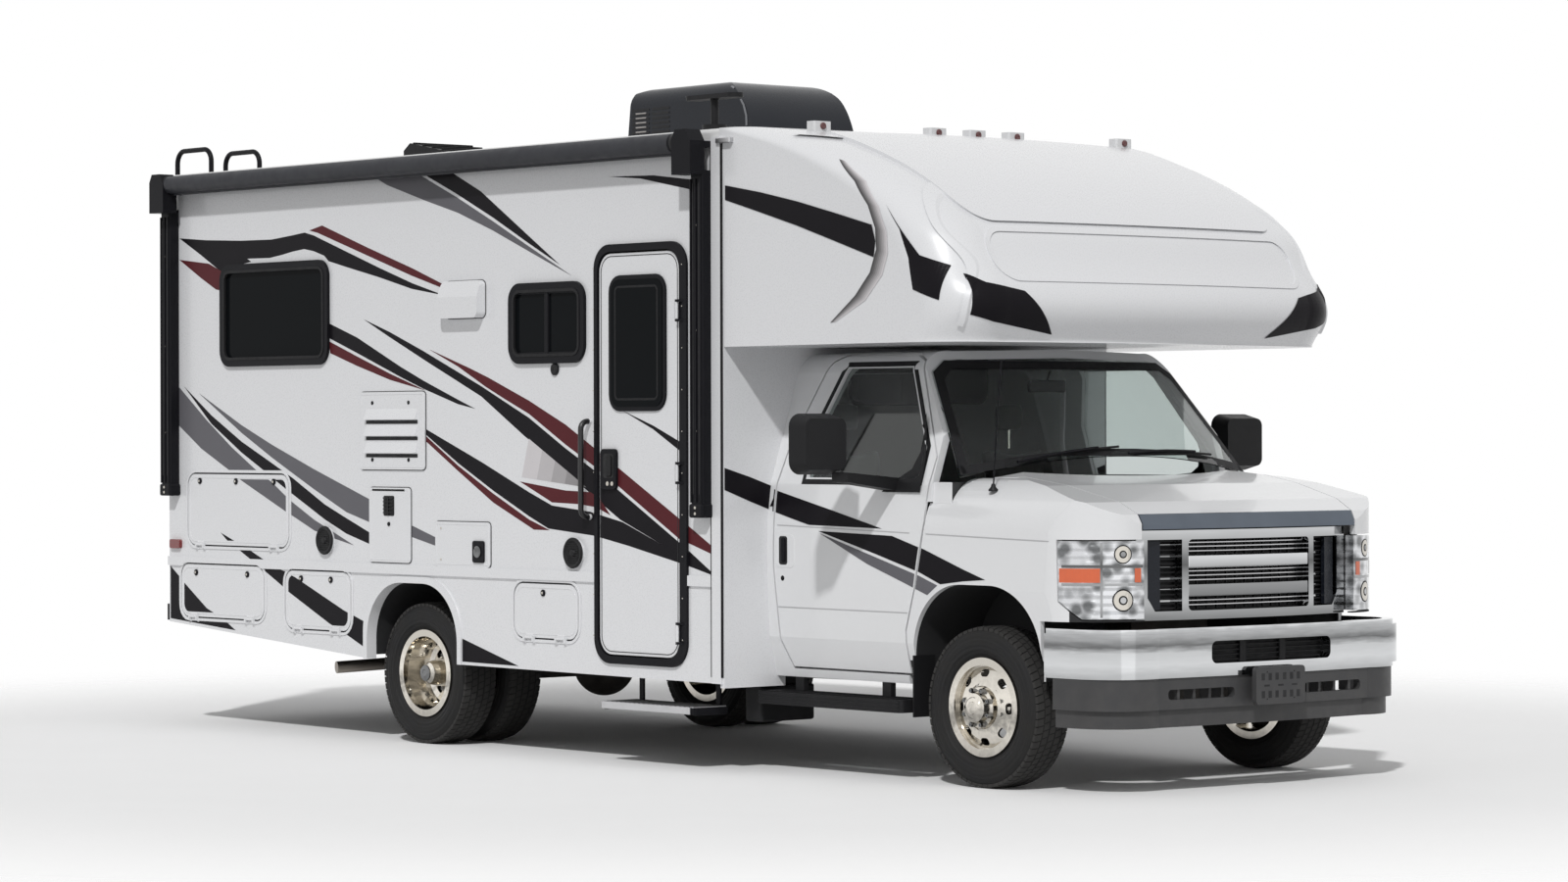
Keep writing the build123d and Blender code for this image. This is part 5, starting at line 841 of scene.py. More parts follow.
blocks("entry_frame_screws", [((-2.0955 + sx * 0.345 - 0.003, OUT - 0.0295, z - 0.003),
    (-2.0955 + sx * 0.345 + 0.003, OUT - 0.0275, z + 0.003)) for sx in (-1, 1)
    for z in [0.62 + 0.2 * i for i in range(10)]], DISC, 0.001)

# refrigerator, furnace and utility panels, range vent, speakers and cable inlet
for number, (shape, lip) in enumerate(zip(PANELS, (0.01, 0.008, 0.008, None))):
    edging(f"panel_seam_{number}", shape, 0.004, -0.001, -0.001, 0.0025, SEAL, 0.0)
    if lip:
        edging(f"panel_lip_{number}", shape, -0.01, -0.015, lip - 0.001, lip + 0.0015, WHITE, 0.0008)
# the louvre slots, the furnace slit and the back of the furnace grille are painted shade
blocks("louvre_slots", [((-4.4, OUT - 0.0125, z - 0.052), (-3.94, OUT - 0.0095, z - 0.034))
    for z in (1.715, 1.63, 1.54)], PAINTED_SHADE, 0.0)
studs("panel_screws", [(-4.345, OUT - 0.01, 1.773), (-4.02, OUT - 0.01, 1.773), (-4.345, OUT - 0.01, 1.475),
    (-4.02, OUT - 0.01, 1.475)], 0.01, 0.004, BLACK_METAL)
blocks("furnace_slit", [((-4.35, OUT - 0.0095, 1.312), (-4.06, OUT - 0.0075, 1.322))], PAINTED_SHADE, 0.0)
prism("furnace_grille_back", [rounded(-4.2, 1.235, 0.095, 0.105, 0.01)], OUT - 0.007, OUT - 0.0105, PAINTED_SHADE,
    0.001)
blocks("furnace_grille_bars", repeat((-4.244, OUT - 0.017, 1.196), (-4.156, OUT - 0.009, 1.203),
    (0, 0, 0.019), 5) + [((-4.204, OUT - 0.018, 1.186), (-4.196, OUT - 0.009, 1.284))], PLASTIC, 0.001)
studs("furnace_lock", [(-4.2, OUT - 0.008, 1.14)], 0.011, 0.006, BLACK_METAL)
prism("utility_latch", [rounded(-3.41, 1.01, 0.098, 0.112, 0.014)], OUT - 0.007, OUT - 0.018, BLACK_METAL,
    0.003)
studs("utility_latch_dial", [(-3.41, OUT - 0.018, 1.01)], 0.03, 0.008, CHROME, turns=24)
studs("utility_hinges", [(-3.74, OUT - 0.008, 0.965), (-3.74, OUT - 0.008, 1.125)], 0.006, 0.003, DISC)
blocks("range_vent_louvre", repeat((-3.68, OUT - 0.05, 2.212), (-3.38, OUT - 0.022, 2.216), (0, 0, 0.018), 2),
       GREY_PLASTIC, 0.001)
for number, (x, z) in enumerate(((-4.78, 1.045), (-2.62, 1.02))):
    lathe(f"speaker_{number}", (x, OUT - 0.014, z), (0, -1, 0),
          [(0, 0.076), (0.006, 0.077), (0.012, 0.07), (0.01, 0.06), (0.004, 0.054), (0.004, 0.022),
           (0.012, 0.016), (0.014, 0.001)], PLASTIC, 36)
    blocks(f"speaker_grille_{number}", repeat((x - 0.045, OUT - 0.023, z - 0.046),
        (x + 0.045, OUT - 0.019, z - 0.042), (0, 0, 0.0115), 9), PLASTIC, 0.0008)
studs("cable_inlet", [(-2.78, OUT, 1.93)], 0.03, 0.014, PLASTIC, turns=24)

# hatches: trim on the wall, a pressed line and thumb latches on the door
LATCHES = {"rear_upper": [(-6.01, 1.352), (-5.65, 1.352), (-5.28, 1.352)],
    "rear_lower": [(-6.05, 0.845), (-5.54, 0.845)], "middle": [(-5.02, 0.835), (-4.74, 0.835)],
    "front": [(-2.88, 0.815)]}
for hatch, shape in list(HATCHES.items()) + [("left", LEFT_HATCH)]:
    side = 1 if hatch == "left" else -1
    body = f"baggage_door_{hatch}"
    edging(f"hatch_trim_{hatch}", shape, 0.024, 0.0085, 0.0, 0.0055, WHITE, side=side)
    # a ring of painted shade in the gap round the hatch
    edging(f"hatch_shadow_{hatch}", shape, 0.0085, 0.0005, -0.02, -0.012, PAINTED_SHADE, 0.0, side)
    edging(f"hatch_press_{hatch}", shape, -0.016, -0.022, 0.002, 0.0048, WHITE, 0.0012, side, body)
    places = LATCHES.get(hatch, [(LEFT_HATCH[0] - 0.26, 0.8), (LEFT_HATCH[0] + 0.26, 0.8)])
    studs(f"hatch_latch_{hatch}", [(x, side * (WALL_Y + 0.003), z) for x, z in places], 0.017, 0.008,
        BLACK_METAL, (0, side, 0), 20, body=body)
    studs(f"hatch_key_{hatch}", [(x, side * (WALL_Y + 0.0105), z) for x, z in places], 0.007, 0.003, DISC,
          (0, side, 0), 12, body=body)

# awning: painted shade in the grooves of the arms, ribs of the arms, feet, the rolled fabric, its caps and
# hem
for number, (x, low) in enumerate(((-6.265, 1.28), (-1.595, 1.22))):
    blocks(f"awning_arm_grooves_{number}", [((x + dx - 0.004, -1.339, low + 0.1),
        (x + dx + 0.004, -1.3365, 2.8)) for dx in (-0.022, 0.022)], PAINTED_SHADE, 0.0)
    blocks(f"awning_arm_ribs_{number}", [((x + dx - 0.005, -1.344, low + 0.06),
        (x + dx + 0.005, -1.336, 2.82)) for dx in (-0.036, 0.0, 0.036)], BLACK_METAL)
    blocks(f"awning_foot_{number}", [((x - 0.052, -1.345, low - 0.012), (x + 0.052, -1.268, low + 0.055))],
           BLACK_METAL, 0.01)
    studs(f"awning_foot_bolts_{number}", [(x, -1.345, low + 0.008), (x, -1.345, low + 0.036)], 0.008, 0.004,
        DISC, turns=6)
    studs(f"awning_arm_screws_{number}", [(x, -1.3385, z) for z in (1.62, 2.1, 2.6)], 0.006, 0.003, DISC,
        turns=12)
fabric = finish("awning_fabric", (0.022, 0.023, 0.028), 0.55, 0.2, 6, 700, 0.5, stretch=(0.02, 1, 1),
    shine=0.3)
lathe("awning_roll", (-6.17, -1.36, 2.995), (1, 0, 0),
      [(0, 0.02), (0.001, 0.0475), (4.439, 0.0475), (4.44, 0.02)], fabric, 40)
for number, x in enumerate((-6.2, -1.715)):
    lathe(f"awning_cap_{number}", (x, -1.36, 2.995), (1, 0, 0),
          [(0, 0.025), (0.003, 0.047), (0.01, 0.0495), (0.024, 0.0495), (0.03, 0.047), (0.031, 0.02)],
          PLASTIC, 32)
blocks("awning_hem", [((-6.15, -1.352, 2.935), (-1.74, -1.344, 2.952))], fabric, 0.003)
blocks("awning_rail_end", [((-1.5, -1.297, 2.985), (-1.395, -1.268, 3.012))], ALLOY, 0.004)

# painted shade lines at the seams of the corner trims
for hand, side in SIDES.items():
    blocks(f"corner_shade_line_{hand}", [((x - 0.002, side * 1.268, 0.45), (x + 0.002, side * 1.2835, 3.0))
        for x in (-1.553, -1.478)], SEAL, 0.0)

# ------------------------------------------------------------------ roof

ruby = finish("clearance_ruby", (0.085, 0.008, 0.008), 0.15, 0.2, 60, 400, 0.05, coat=0.5)
studs("roof_lenses", [(-1.061, y, 3.057) for y in (-1.0, -0.26, 0.0, 0.26, 1.0)], 0.0165, 0.01, ruby,
      (1, 0, 0), 20)

# the cooler's side slots are strips of painted shade
blocks("cooler_side_slots", [((-3.33 + 0.165 * column, side * 0.338, 3.115 + 0.024 * row),
    (-3.19 + 0.165 * column, side * 0.3425, 3.127 + 0.024 * row)) for side in (-1, 1) for column in range(2)
    for row in range(8)], PAINTED_SHADE, 0.0)
fin_metal = finish("cooler_fin_metal", (0.34, 0.32, 0.31), 0.45, 0.3, 40, 500, 0.3, metal=0.6)
blocks("cooler_side_fins", [((-3.3, side * 0.338, 3.148 + 0.024 * row), (-3.215, side * 0.3432,
    3.155 + 0.024 * row)) for side in (-1, 1) for row in range(6)], fin_metal, 0.0)
# a lighter strip laid along the cooler's curved rib is a painted highlight
cooler_rib_highlight = finish("cooler_rib_highlight", (0.16, 0.165, 0.18), 0.25, 0.1, 12, 900, 0.05)
for hand, side in SIDES.items():
    rib = [(-2.545, 3.374), (-2.5, 3.356), (-2.455, 3.318), (-2.42, 3.27), (-2.4, 3.215), (-2.398, 3.165)]
    wrap_film(f"cooler_rib_{hand}", strip(rib, [(x - 0.014, z - 0.004) for x, z in rib]),
        skin_of("air_conditioner"), from_side(side), cooler_rib_highlight, step=0.02, lift=0.002)
# the cooler's rear slots are strips of painted shade
blocks("cooler_rear_slots", repeat((-3.3725, -0.26, 3.13), (-3.366, -0.14, 3.143), (0, 0.14, 0), 4), PAINTED_SHADE,
    0.0)
for name, near, far in (("cooler_fin", -0.24, -0.232), ("cooler_fin_2", 0.232, 0.24)):
    prism(name, [[(-3.02, 3.38), (-2.66, 3.394), (-2.6, 3.392), (-2.6, 3.386), (-3.02, 3.372)]], near, far,
        SHROUD, 0.001)
blocks("vent_ribs", repeat((-5.48, -0.205, 3.234), (-5.465, 0.205, 3.243), (0.09, 0, -0.0162), 5), PLASTIC,
    0.003)

# ------------------------------------------------------------------ nose and cab

NOSE_SAG, NOSE_HALF = 0.068, 0.68


def bowed(name, bars, mat, steps=12, bevel=0.001):
    """Bars across the nose that follow its bow: (z low, z high, front x, back x, y from, y to)."""
    verts, faces = [], []
    for low, high, front, back, y0, y1 in bars:
        start = len(verts)
        for i in range(steps + 1):
            y = y0 + (y1 - y0) * i / steps
            dip = NOSE_SAG * (y / NOSE_HALF) ** 2
            verts += [(front - dip, y, low), (front - dip, y, high), (back - dip, y, high),
                (back - dip, y, low)]
        for i in range(steps):
            a, b = start + 4 * i, start + 4 * i + 4
            faces += [(a + k, a + (k + 1) % 4, b + (k + 1) % 4, b + k) for k in range(4)]
        last = start + 4 * steps
        faces += [tuple(start + k for k in range(4)), tuple(last + k for k in range(4))]
    return piece(name, verts, faces, mat, bevel)


# a sheet of painted shade behind the grille
bowed("radiator_screen", [(0.79, 1.15, 0.69, 0.684, -0.66, 0.66)], PAINTED_SHADE, bevel=0)
bowed("grille_fine_bars", [(z, z + 0.0045, 0.716, 0.706, -0.394, 0.394) for z in (0.832, 0.852, 0.944, 0.964,
    0.984, 1.074, 1.094, 1.112)], ALLOY, bevel=0.0)
bowed("grille_main_bars", [(z, z + 0.056, 0.7585, 0.728, -0.3945, 0.3945) for z in (0.872, 1.001)],
    BAR_CHROME, bevel=0.006)
bowed("grille_ticks", [(0.815, 1.125, 0.712, 0.7, y - 0.002, y + 0.002) for y in [-0.36 + 0.06 * i
    for i in range(13)]], PLASTIC, steps=1, bevel=0.0)
# a line of painted shade in the grille's top seam
bowed("grille_top_seam", [(1.171, 1.176, 0.752, 0.7, -0.66, 0.66)], PAINTED_SHADE, bevel=0.0)
bowed("vent_mesh", [(z, z + 0.005, 0.724, 0.716, y0, y1) for z in [0.82 + 0.02 * i for i in range(16)]
    for y0, y1 in ((-0.535, -0.44), (0.44, 0.535))], PLASTIC, steps=3, bevel=0.0)
bowed("vent_plates", [(0.815, 1.125, 0.744, 0.722, y0, y1) for y0, y1 in ((-0.61, -0.54), (0.54, 0.61))],
      SHROUD, steps=3)

# bumper: painted shade behind the slot for the intake, ribs in the valance, painted shade in the holes of the
# plate bracket
blocks("bumper_intake", [((0.79, -0.4, 0.57), (0.8, 0.4, 0.69))], PAINTED_SHADE, 0.0)
blocks("bumper_intake_bars", repeat((0.8, -0.39, 0.585), (0.815, 0.39, 0.592), (0, 0, 0.022), 5)
       + [((0.8, y - 0.02, 0.578), (0.82, y + 0.02, 0.682)) for y in (-0.13, 0.13)], PLASTIC)
blocks("valance_slot_ribs", [((0.775, y - 0.008, 0.42), (0.835, y + 0.008, 0.47))
    for y in (-0.56, -0.46, -0.36, -0.28, 0.28, 0.36, 0.46, 0.56)], GREY_PLASTIC)
blocks("plate_bracket_holes", [((0.928, y - 0.011, z - 0.016), (0.9302, y + 0.011, z + 0.016))
    for y in (-0.115, -0.07, -0.025, 0.025, 0.07, 0.115) for z in (0.43, 0.51)]
    + [((0.928, y - 0.018, 0.4655), (0.9302, y + 0.018, 0.4745)) for y in (-0.09, 0.0, 0.09)], PAINTED_SHADE, 0.0)

# lamps
LAMP_X, LAMP_Y, LAMP_REACH = 0.42, 0.66, 0.9


def round_nose(side):
    """Places (turn in hundreds of degrees, z) as rays towards an upright axis behind a headlamp."""
    def ray(turn, z):
        angle = math.radians(turn * 100)
        reach = Vector((math.cos(angle), side * math.sin(angle), 0))
        return tuple(Vector((LAMP_X, side * LAMP_Y, z)) + reach * LAMP_REACH), tuple(-reach)
    return ray


for hand, side in SIDES.items():
    lamp_skin, from_lamp = skin_of("headlamps"), round_nose(side)
    for name, low, high, bottom, top, mat in (("side_signal", 42, 74, 0.945, 1.008, AMBER_LENS),
            ("inner_signal", 8, 14, 0.945, 1.008, AMBER_LENS), ("lamp_bar", 6, 78, 1.01, 1.022, CHROME),
            ("lamp_bar_low", 6, 78, 0.93, 0.942, CHROME), ("lamp_divider", 40, 42, 0.79, 1.12, CHROME)):
        outline = [(low, bottom), (high, bottom), (high, top), (low, top)]
        wrap_film(f"{name}_{hand}", [[(turn / 100, z) for turn, z in outline]], lamp_skin, from_lamp, mat,
            step=0.04)
    for number, (turn, height, reach) in enumerate(((24, 0.866, 0.05), (24, 1.07, 0.042))):
        for layer, (share, mat) in enumerate(((1.0, BLACK_METAL), (0.88, DISC), (0.42, PLASTIC),
                (0.28, CHROME))):
            disc = [(turn / 100 + 1.75 * reach * share * math.cos(k * math.pi / 10),
                height + reach * share * math.sin(k * math.pi / 10)) for k in range(20)]
            wrap_film(f"lamp_bowl_{number}_{layer}_{hand}", [[(turn / 100, height), disc[k],
                disc[(k + 1) % 20]] for k in range(20)], lamp_skin, from_lamp, mat, step=0.05,
                lift=0.0012 + 0.0006 * layer)

    # mirrors: glass and the shell's rim
    centre, door, beside = side * 1.385, f"cab_door_{hand}", from_side(side)
    prism(f"mirror_glass_{hand}", [rounded(centre, 1.6, 0.23, 0.155, 0.035),
        rounded(centre, 1.475, 0.23, 0.065, 0.025)], -0.6925, -0.689, CHROME, 0.001, axis="x", body=door)
    ring(f"mirror_rim_{hand}", rounded(centre, 1.56, 0.286, 0.276, 0.058),
        rounded(centre, 1.56, 0.262, 0.252, 0.05), -0.698, -0.688, PLASTIC, axis="x", body=door)
    # door handle in a well of painted shade, lock and window seal
    for name, shape, near, far, mat, bevel in (
            ("handle_panel", (-1.34, 1.05, 0.136, 0.16, 0.03), 0.994, 1.0035, PAINT, 0.0015),
            ("handle_well", (-1.352, 1.052, 0.06, 0.136, 0.014), 0.996, 1.0048, PAINTED_SHADE, 0.001),
            ("handle", (-1.345, 1.055, 0.026, 0.116, 0.011), 1.002, 1.016, BLACK_METAL, 0.004)):
        prism(f"door_{name}_{hand}", [rounded(*shape)], side * near, side * far, mat, bevel, body=door)
    studs(f"door_lock_{hand}", [(-1.36, side * 0.998, 0.92)], 0.013, 0.004, BLACK_METAL,
          (0, side, 0), 20, body=door)
    door_skin = skin_of(door)
    window_edge = [(-1.222, 1.392), (-1.222, 1.643), (-1.114, 1.922), (-0.65, 1.922), (-0.422, 1.543),
        (-0.422, 1.392)]
    wider = [(-1.246, 1.368), (-1.246, 1.65), (-1.132, 1.946), (-0.636, 1.946), (-0.398, 1.55),
        (-0.398, 1.368)]
    quads = strip(wider + wider[:1], window_edge + window_edge[:1])
    wrap_film(f"door_window_seal_{hand}", quads, door_skin, beside, SEAL, step=0.05, body=door)
    # the mirror's foot at the window's front corner
    foot = [[(-0.66, 1.335), (-0.395, 1.335), (-0.395, 1.4), (-0.6, 1.385)],
            [(-0.6, 1.385), (-0.395, 1.4), (-0.405, 1.5), (-0.5, 1.44)],
            [(-0.5, 1.44), (-0.405, 1.5), (-0.442, 1.62), (-0.468, 1.52)],
            [(-0.468, 1.52), (-0.442, 1.62), (-0.472, 1.7), (-0.48, 1.64)]]
    wrap_film(f"mirror_foot_{hand}", foot, skin_of(door, f"cab_door_glass_{hand}"), beside, PLASTIC,
        step=0.03, lift=0.01, body=door)
    # painted shade lines along the pressed creases of the door and fender
    for tag, z0, z1 in (("belt", 1.172, 1.125), ("sill", 0.782, 0.778)):
        for part, skin, body, x0, x1 in (("door", door_skin, door, -1.4, -0.46),
                ("fender", skin_of("front_fenders"), "vehicle", -0.35, 0.46)):
            if tag == "sill" and part == "fender":
                continue
            z_at = [z0 + (z1 - z0) * (x + 1.4) / 1.9 for x in (x0, x1)]
            line = [(x0, z_at[0] - 0.0025), (x1, z_at[1] - 0.0025), (x1, z_at[1] + 0.0025),
                (x0, z_at[0] + 0.0025)]
            wrap_film(f"{tag}_line_{part}_{hand}", [line], skin, beside, CREASE_SHADE, step=0.06, body=body)
    # the fender's shoulder between its wall, the hood and the cowl
    shoulder = [(0.9595, 1.298), (0.95, 1.3125), (0.94, 1.3255), (0.92, 1.3465), (0.9, 1.363), (0.88, 1.377),
        (0.86, 1.3885), (0.84, 1.396), (0.82, 1.4005), (0.806, 1.4025)]
    prism(f"fender_shoulder_{hand}", [[(side * y, z) for y, z in shoulder]
        + [(side * y, z - 0.02) for y, z in reversed(shoulder)]], -0.211, 0.0485, PAINT, 0.0, axis="x")
    corner = [(0.9602, 1.384), (0.9632, 1.384), (0.969, 1.2862), (0.9602, 1.2862)]
    prism(f"fender_corner_{hand}", [[(side * y, z) for y, z in corner]], -0.334, -0.2105, PAINT, 0.001,
          axis="x")
    # running board ribs and mud flap bolts
    low, high = sorted((side * 0.895, side * 1.045))
    blocks(f"step_ribs_{hand}", repeat((-1.47, low, 0.3795), (-1.463, high, 0.384), (0.018, 0, 0), 54),
        PLASTIC, 0.0)
    blocks(f"step_edge_{hand}", [((-1.49, side * 1.048, z), (-0.48, side * 1.053, z + 0.008))
        for z in (0.33, 0.348, 0.364)], PLASTIC)
    studs(f"flap_bolts_{hand}", [(-0.4505, side * (0.9 + 0.05 * i), 0.55) for i in range(2)], 0.009, 0.004,
        DISC, (-1, 0, 0), 12)

# windshield: black border, wipers, mirror and aerial
glass = skin_of("windshield")


def glass_foot(y):
    """Height of the windshield's lower edge, which rises to the middle."""
    return 1.406 + 0.086 * (1 - (y / 0.96) ** 2)


foot_line = [-0.92 + 0.115 * i for i in range(17)]
sides_out = [(0.936, 1.414), (0.786, 1.893), (0.7, 1.948), (-0.7, 1.948), (-0.786, 1.893), (-0.936, 1.414)]
sides_in = [(0.885, 1.432), (0.752, 1.862), (0.685, 1.908), (-0.685, 1.908), (-0.752, 1.862), (-0.885, 1.432)]
border = strip(sides_out, sides_in) + strip(*([(y, glass_foot(y) + up) for y in foot_line]
    for up in (0.003, 0.042)))
wrap_film("windshield_border", border, glass, from_front(1), SEAL, step=0.05)
for number, (y0, y1) in enumerate(((-0.62, -0.02), (0.05, 0.66))):
    hits = []
    for share in (0.0, 0.25, 0.5, 0.75, 1.0):
        y = y0 + (y1 - y0) * share
        z = glass_foot(y) + 0.012 + 0.03 * share
        hit, _, _, _ = glass.ray_cast(Vector((RAY_AHEAD + AXLE_X, y, z)), Vector((-1, 0, 0)))
        hits.append((hit.x - AXLE_X + 0.012, y, z + 0.01))
    tube(f"wiper_blade_{number}", hits, 0.006, PLASTIC)
    lifted = [(x + 0.012, y, z + 0.006) for x, y, z in hits[1:4]]
    tube(f"wiper_arm_{number}", [(hits[0][0] + 0.014, y0 - 0.04, glass_foot(y0) + 0.02)] + lifted, 0.007,
        BLACK_METAL)
tube("radio_aerial", [(0.03, -0.93, 1.36), (0.05, -0.93, 1.6), (0.085, -0.93, 1.94)], 0.0036, BLACK_METAL)
lathe("aerial_base", (0.03, -0.93, 1.345), (0, 0, 1), [(0, 0.022), (0.008, 0.022), (0.02, 0.012),
    (0.034, 0.008), (0.036, 0.001)], PLASTIC, 20)
blocks("cabin_mirror", [((-0.6, -0.12, 1.8), (-0.575, 0.12, 1.86))], PLASTIC, 0.01)
tube("cabin_mirror_arm", [(-0.585, 0.0, 1.85), (-0.575, 0.0, 1.88), (-0.56, 0.0, 1.905)], 0.006, PLASTIC)

# ------------------------------------------------------------------ wheels

TREAD = finish("tread_rubber", (0.034, 0.033, 0.032), 0.75, 0.2, 12, 900, 0.4, shine=0.2)
TREAD_BLOCKS, TREAD_PROUD, TREAD_FOOT = 64, 0.002, -0.012
TREAD_SLANT, SHOULDER, SHOULDER_DROP = 0.12, 0.08, 0.006
# each row's distance from the middle, width and shift
TREAD_ROWS = ((-0.079, 0.034, 0.0), (-0.04, 0.03, 0.5), (0.0, 0.03, 0.0), (0.04, 0.03, 0.5),
    (0.079, 0.034, 0.0))


def tread(name, x, y_mid, body):
    """Rows of tread blocks round a tyre."""
    verts, faces = [], []
    for offset, width, shift in TREAD_ROWS:
        for i in range(TREAD_BLOCKS):
            start = len(verts)
            for turn, dy in ((0.08, -1), (0.92, -1), (0.92, 1), (0.08, 1)):
                angle = 2 * math.pi * (i + turn + shift + TREAD_SLANT * dy) / TREAD_BLOCKS
                y = offset + dy * width / 2
                sunk = SHOULDER_DROP if abs(y) > SHOULDER else 0.0
                for r in (AXLE_HEIGHT + TREAD_FOOT - sunk, AXLE_HEIGHT + TREAD_PROUD - sunk):
                    verts.append((x + r * math.cos(angle), y_mid + y, max(0.0,
                        AXLE_HEIGHT + r * math.sin(angle))))
            faces += [tuple(start + k for k in q) for q in ((1, 3, 5, 7), (0, 1, 3, 2), (2, 3, 5, 4),
                (4, 5, 7, 6), (6, 7, 1, 0))]
    return piece(name, verts, faces, TREAD, body=body)


def nuts(name, x, y, side, pitch, count, body):
    places = [(x + pitch * math.cos(2 * math.pi * (i + 0.5) / count), y,
        AXLE_HEIGHT + pitch * math.sin(2 * math.pi * (i + 0.5) / count)) for i in range(count)]
    studs(name, places, 0.0125, 0.032, CHROME, (0, side, 0), 6, body=body)


for hand, side in SIDES.items():
    front_y, rear_y = side * 0.875, side * 1.09
    tread(f"tread_front_{hand}", 0, front_y, f"front_wheel_{hand}")
    nuts(f"nuts_front_{hand}", 0, front_y + side * 0.112, side, 0.083, 8, f"front_wheel_{hand}")
    lathe(f"hub_cap_front_{hand}", (0, front_y + side * 0.15, AXLE_HEIGHT), (0, side, 0),
          [(0, 0.052), (0.006, 0.05), (0.012, 0.042), (0.0125, 0.03), (0.009, 0.026), (0.009, 0.002)],
          DISC, 32, body=f"front_wheel_{hand}")
    for row, y in enumerate((rear_y, rear_y - side * 0.29)):
        tread(f"tread_rear_{hand}_{row}", REAR_AXLE, y, f"rear_wheels_{hand}")
    nuts(f"nuts_rear_{hand}", REAR_AXLE, rear_y - side * 0.072, side, 0.094, 8, f"rear_wheels_{hand}")
    lathe(f"hub_cap_rear_{hand}", (REAR_AXLE, rear_y + side * 0.085, AXLE_HEIGHT), (0, side, 0),
          [(0, 0.042), (0.01, 0.042), (0.016, 0.034), (0.016, 0.02), (0.012, 0.016), (0.012, 0.002)],
          CHROME, 32, body=f"rear_wheels_{hand}")

# ------------------------------------------------------------------ step and tail

blocks("step_motor_case", [((-1.64, -1.0, 0.225), (-1.52, -0.66, 0.4)), ((-1.6, -0.96, 0.38),
    (-1.55, -0.7, 0.44))], PLASTIC, 0.012)
blocks("step_arms", [((x - 0.012, -1.3, 0.262), (x + 0.012, -1.1, 0.3)) for x in (-2.348, -1.662)],
    BLACK_METAL, 0.004)

blocks("step_tread", repeat((-2.34, -1.315, 0.2995), (-2.315, -1.11, 0.3045), (0.035, 0, 0), 20), ALLOY,
    0.001)
blocks("step_nosing", [((-2.345, -1.327, 0.268), (-1.665, -1.318, 0.303))], ALLOY, 0.003)
blocks("ladder_treads", repeat((-6.44, -1.12, 0.812), (-6.412, -0.86, 0.816), (0, 0, 0.29), 8), PLASTIC,
    0.001)
blocks("tail_rub_strip", [((-6.4532, -1.15, 0.6), (-6.4515, 1.15, 0.63))], SEAL, 0.0)

# ------------------------------------------------------------------ seats


VOXEL, SLACK, PRESSURE, STIFFNESS, FRAMES, SMOOTHING, FILL = 0.022, 0.03, 3.0, 40, 12, 24, 0.85


def cushion(name, low, high, tilt=0.0):
    """A padded block, swollen by cloth pressure and then smoothed."""
    size = Vector(high) - Vector(low)
    centre = (Vector(high) + Vector(low)) / 2
    mesh = bpy.data.meshes.new(name)
    work = bmesh.new()
    bmesh.ops.create_cube(work, size=1.0)
    for vert in work.verts:
        vert.co = Vector(vert.co[i] * (size[i] - SLACK) for i in range(3))
    work.to_mesh(mesh)
    work.free()
    obj = show(name, mesh)
    remesh = obj.modifiers.new("grid", "REMESH")
    remesh.mode = "VOXEL"
    remesh.voxel_size = VOXEL
    cloth = obj.modifiers.new("cloth", "CLOTH")
    cloth.settings.use_pressure = True
    cloth.settings.uniform_pressure_force = PRESSURE
    cloth.settings.effector_weights.gravity = 0.0
    cloth.settings.tension_stiffness = STIFFNESS
    cloth.settings.compression_stiffness = STIFFNESS
    cloth.point_cache.frame_start = 1
    cloth.point_cache.frame_end = FRAMES
    for frame_number in range(1, FRAMES + 1):
        bpy.context.scene.frame_set(frame_number)
    evaluated = obj.evaluated_get(bpy.context.evaluated_depsgraph_get())
    swollen = bpy.data.meshes.new_from_object(evaluated)
    obj.modifiers.clear()
    obj.data = swollen
    bpy.context.scene.frame_set(1)
    turn = Matrix.Rotation(math.radians(tilt), 3, "Y")
    for vert in swollen.vertices:
        start = vert.co
        for i in range(3):
            start[i] = max(-size[i] / 2, min(size[i] / 2, start[i]))
        vert.co = turn @ start + centre + Vector((AXLE_X, 0, 0))
    for poly in swollen.polygons:
        poly.use_smooth = True
    smooth = obj.modifiers.new("soft", "SMOOTH")
    smooth.iterations = SMOOTHING
    swollen.materials.clear()
    swollen.materials.append(CLOTH)
    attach(obj, "vehicle")
    return obj


seat_pieces = []
for hand, side in SIDES.items():
    inner, outer = sorted((side * 0.315, side * 0.785))
    seat_pieces += [
        cushion(f"seat_base_{hand}", (-1.34, inner, 0.885), (-0.9, outer, 1.015)),
        cushion(f"seat_back_{hand}", (-1.425, inner, 0.99), (-1.315, outer, 1.57), tilt=-9),
        cushion(f"head_rest_{hand}", (-1.475, side * 0.55 - 0.11, 1.6), (-1.385, side * 0.55 + 0.11, 1.77)),
    ]
    blocks(f"seat_pedestal_{hand}", [((-1.3, side * 0.54 - 0.19, 0.655), (-0.92, side * 0.54 + 0.19, 0.885))],
           CABIN, 0.012)
    tube(f"head_rest_posts_{hand}", [(-1.43, side * 0.55, 1.53), (-1.43, side * 0.55, 1.63)], 0.008, DISC)
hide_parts("cab_seats")

# ------------------------------------------------------------------ stage, lamps and camera


FLOOR_SIZE, FLOOR_DROP, FADE_FROM, FADE_TO = 40.0, 0.001, 4.2, 8.5
SKY_LEVEL = 0.36


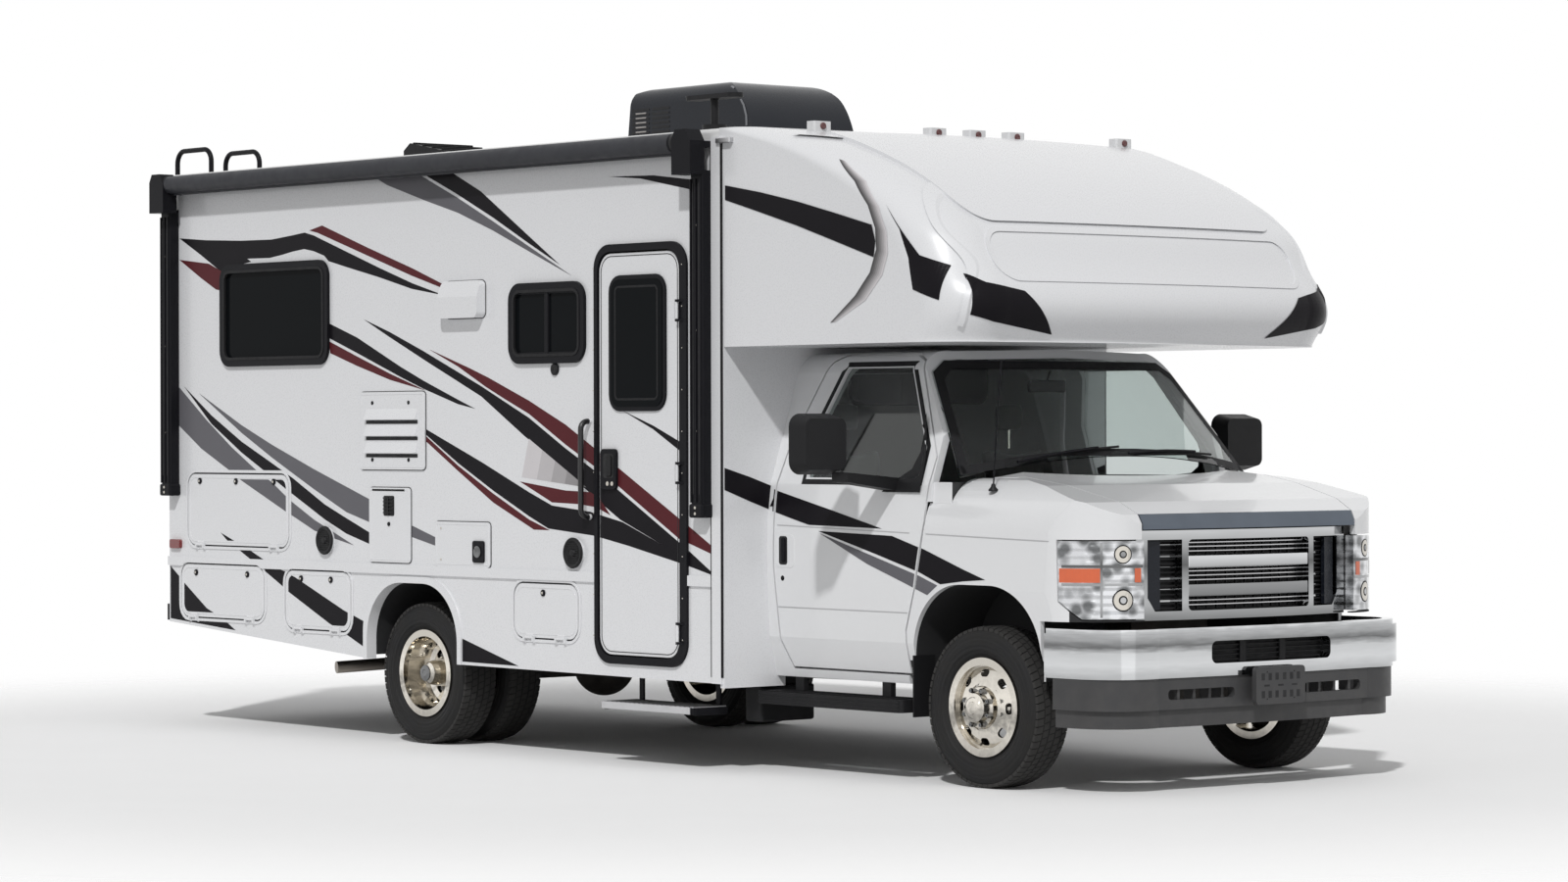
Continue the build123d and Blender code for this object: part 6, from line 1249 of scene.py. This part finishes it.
def build_floor():
    """A pale floor that fades out, so that it keeps the shadow and ends nowhere."""
    mesh = bpy.data.meshes.new("floor")
    mesh.from_pydata([(x * FLOOR_SIZE, y * FLOOR_SIZE, -FLOOR_DROP) for x, y in ((-1, -1), (1, -1), (1, 1),
        (-1, 1))], [], [(0, 1, 2, 3)])
    obj = show("floor", mesh)
    mat, tree, shader, coords = new_material("studio_floor")
    length = add(tree, "VectorMath", {0: coords}, "Value", operation="LENGTH")
    put(tree, shader, {"Base Color": mix(tree, noise(tree, coords, 2.0), (0.93, 0.93, 0.93),
        (0.95, 0.95, 0.95)), "Roughness": 0.9, "Alpha": ranged(tree, length, FADE_FROM, FADE_TO, 1.0, 0.0,
        interpolation_type="SMOOTHSTEP")})
    mesh.materials.append(mat)


build_floor()
world = bpy.data.worlds.new("studio")
bpy.context.scene.world = world
world.use_nodes = True
tree = world.node_tree
path = tree.nodes.new("ShaderNodeLightPath").outputs
seen = maths(tree, "MAXIMUM", path["Is Camera Ray"], path["Is Glossy Ray"])
seen = maths(tree, "MAXIMUM", seen, path["Is Transmission Ray"])
put(tree, tree.nodes["Background"], {"Strength": ranged(tree, seen, 0.0, 1.0, SKY_LEVEL, 1.0),
    "Color": (1, 1, 1, 1)})


def sun(name, strength, angle, direction):
    lamp = bpy.data.lights.new(name, "SUN")
    lamp.energy = strength
    lamp.angle = math.radians(angle)
    obj = show(name, lamp)
    obj.rotation_mode = "QUATERNION"
    obj.rotation_quaternion = Vector(direction).to_track_quat("-Z", "Y")


sun("key", 2.0, 2.5, (-0.7, 0.86, -1.0))
sun("fill", 0.25, 70, (-1.0, 0.2, -0.55))

camera_data = bpy.data.cameras.new("camera")
camera = show("camera", camera_data)
camera_data.sensor_width = 36.0
camera_data.lens = 99.42
camera_data.clip_end = 200.0
camera.location = (AXLE_X + 14.335, -14.385, 1.616)
azimuth, pitch, roll = (math.radians(turn) for turn in (49.52, -0.12, -0.13))
forward = Vector((-math.sin(azimuth) * math.cos(pitch), math.cos(azimuth) * math.cos(pitch), math.sin(pitch)))
camera.rotation_mode = "QUATERNION"
camera.rotation_quaternion = forward.to_track_quat("-Z", "Y") @ Matrix.Rotation(roll, 3, "Z").to_quaternion()
bpy.context.scene.camera = camera
bpy.context.scene.view_settings.view_transform = "Standard"
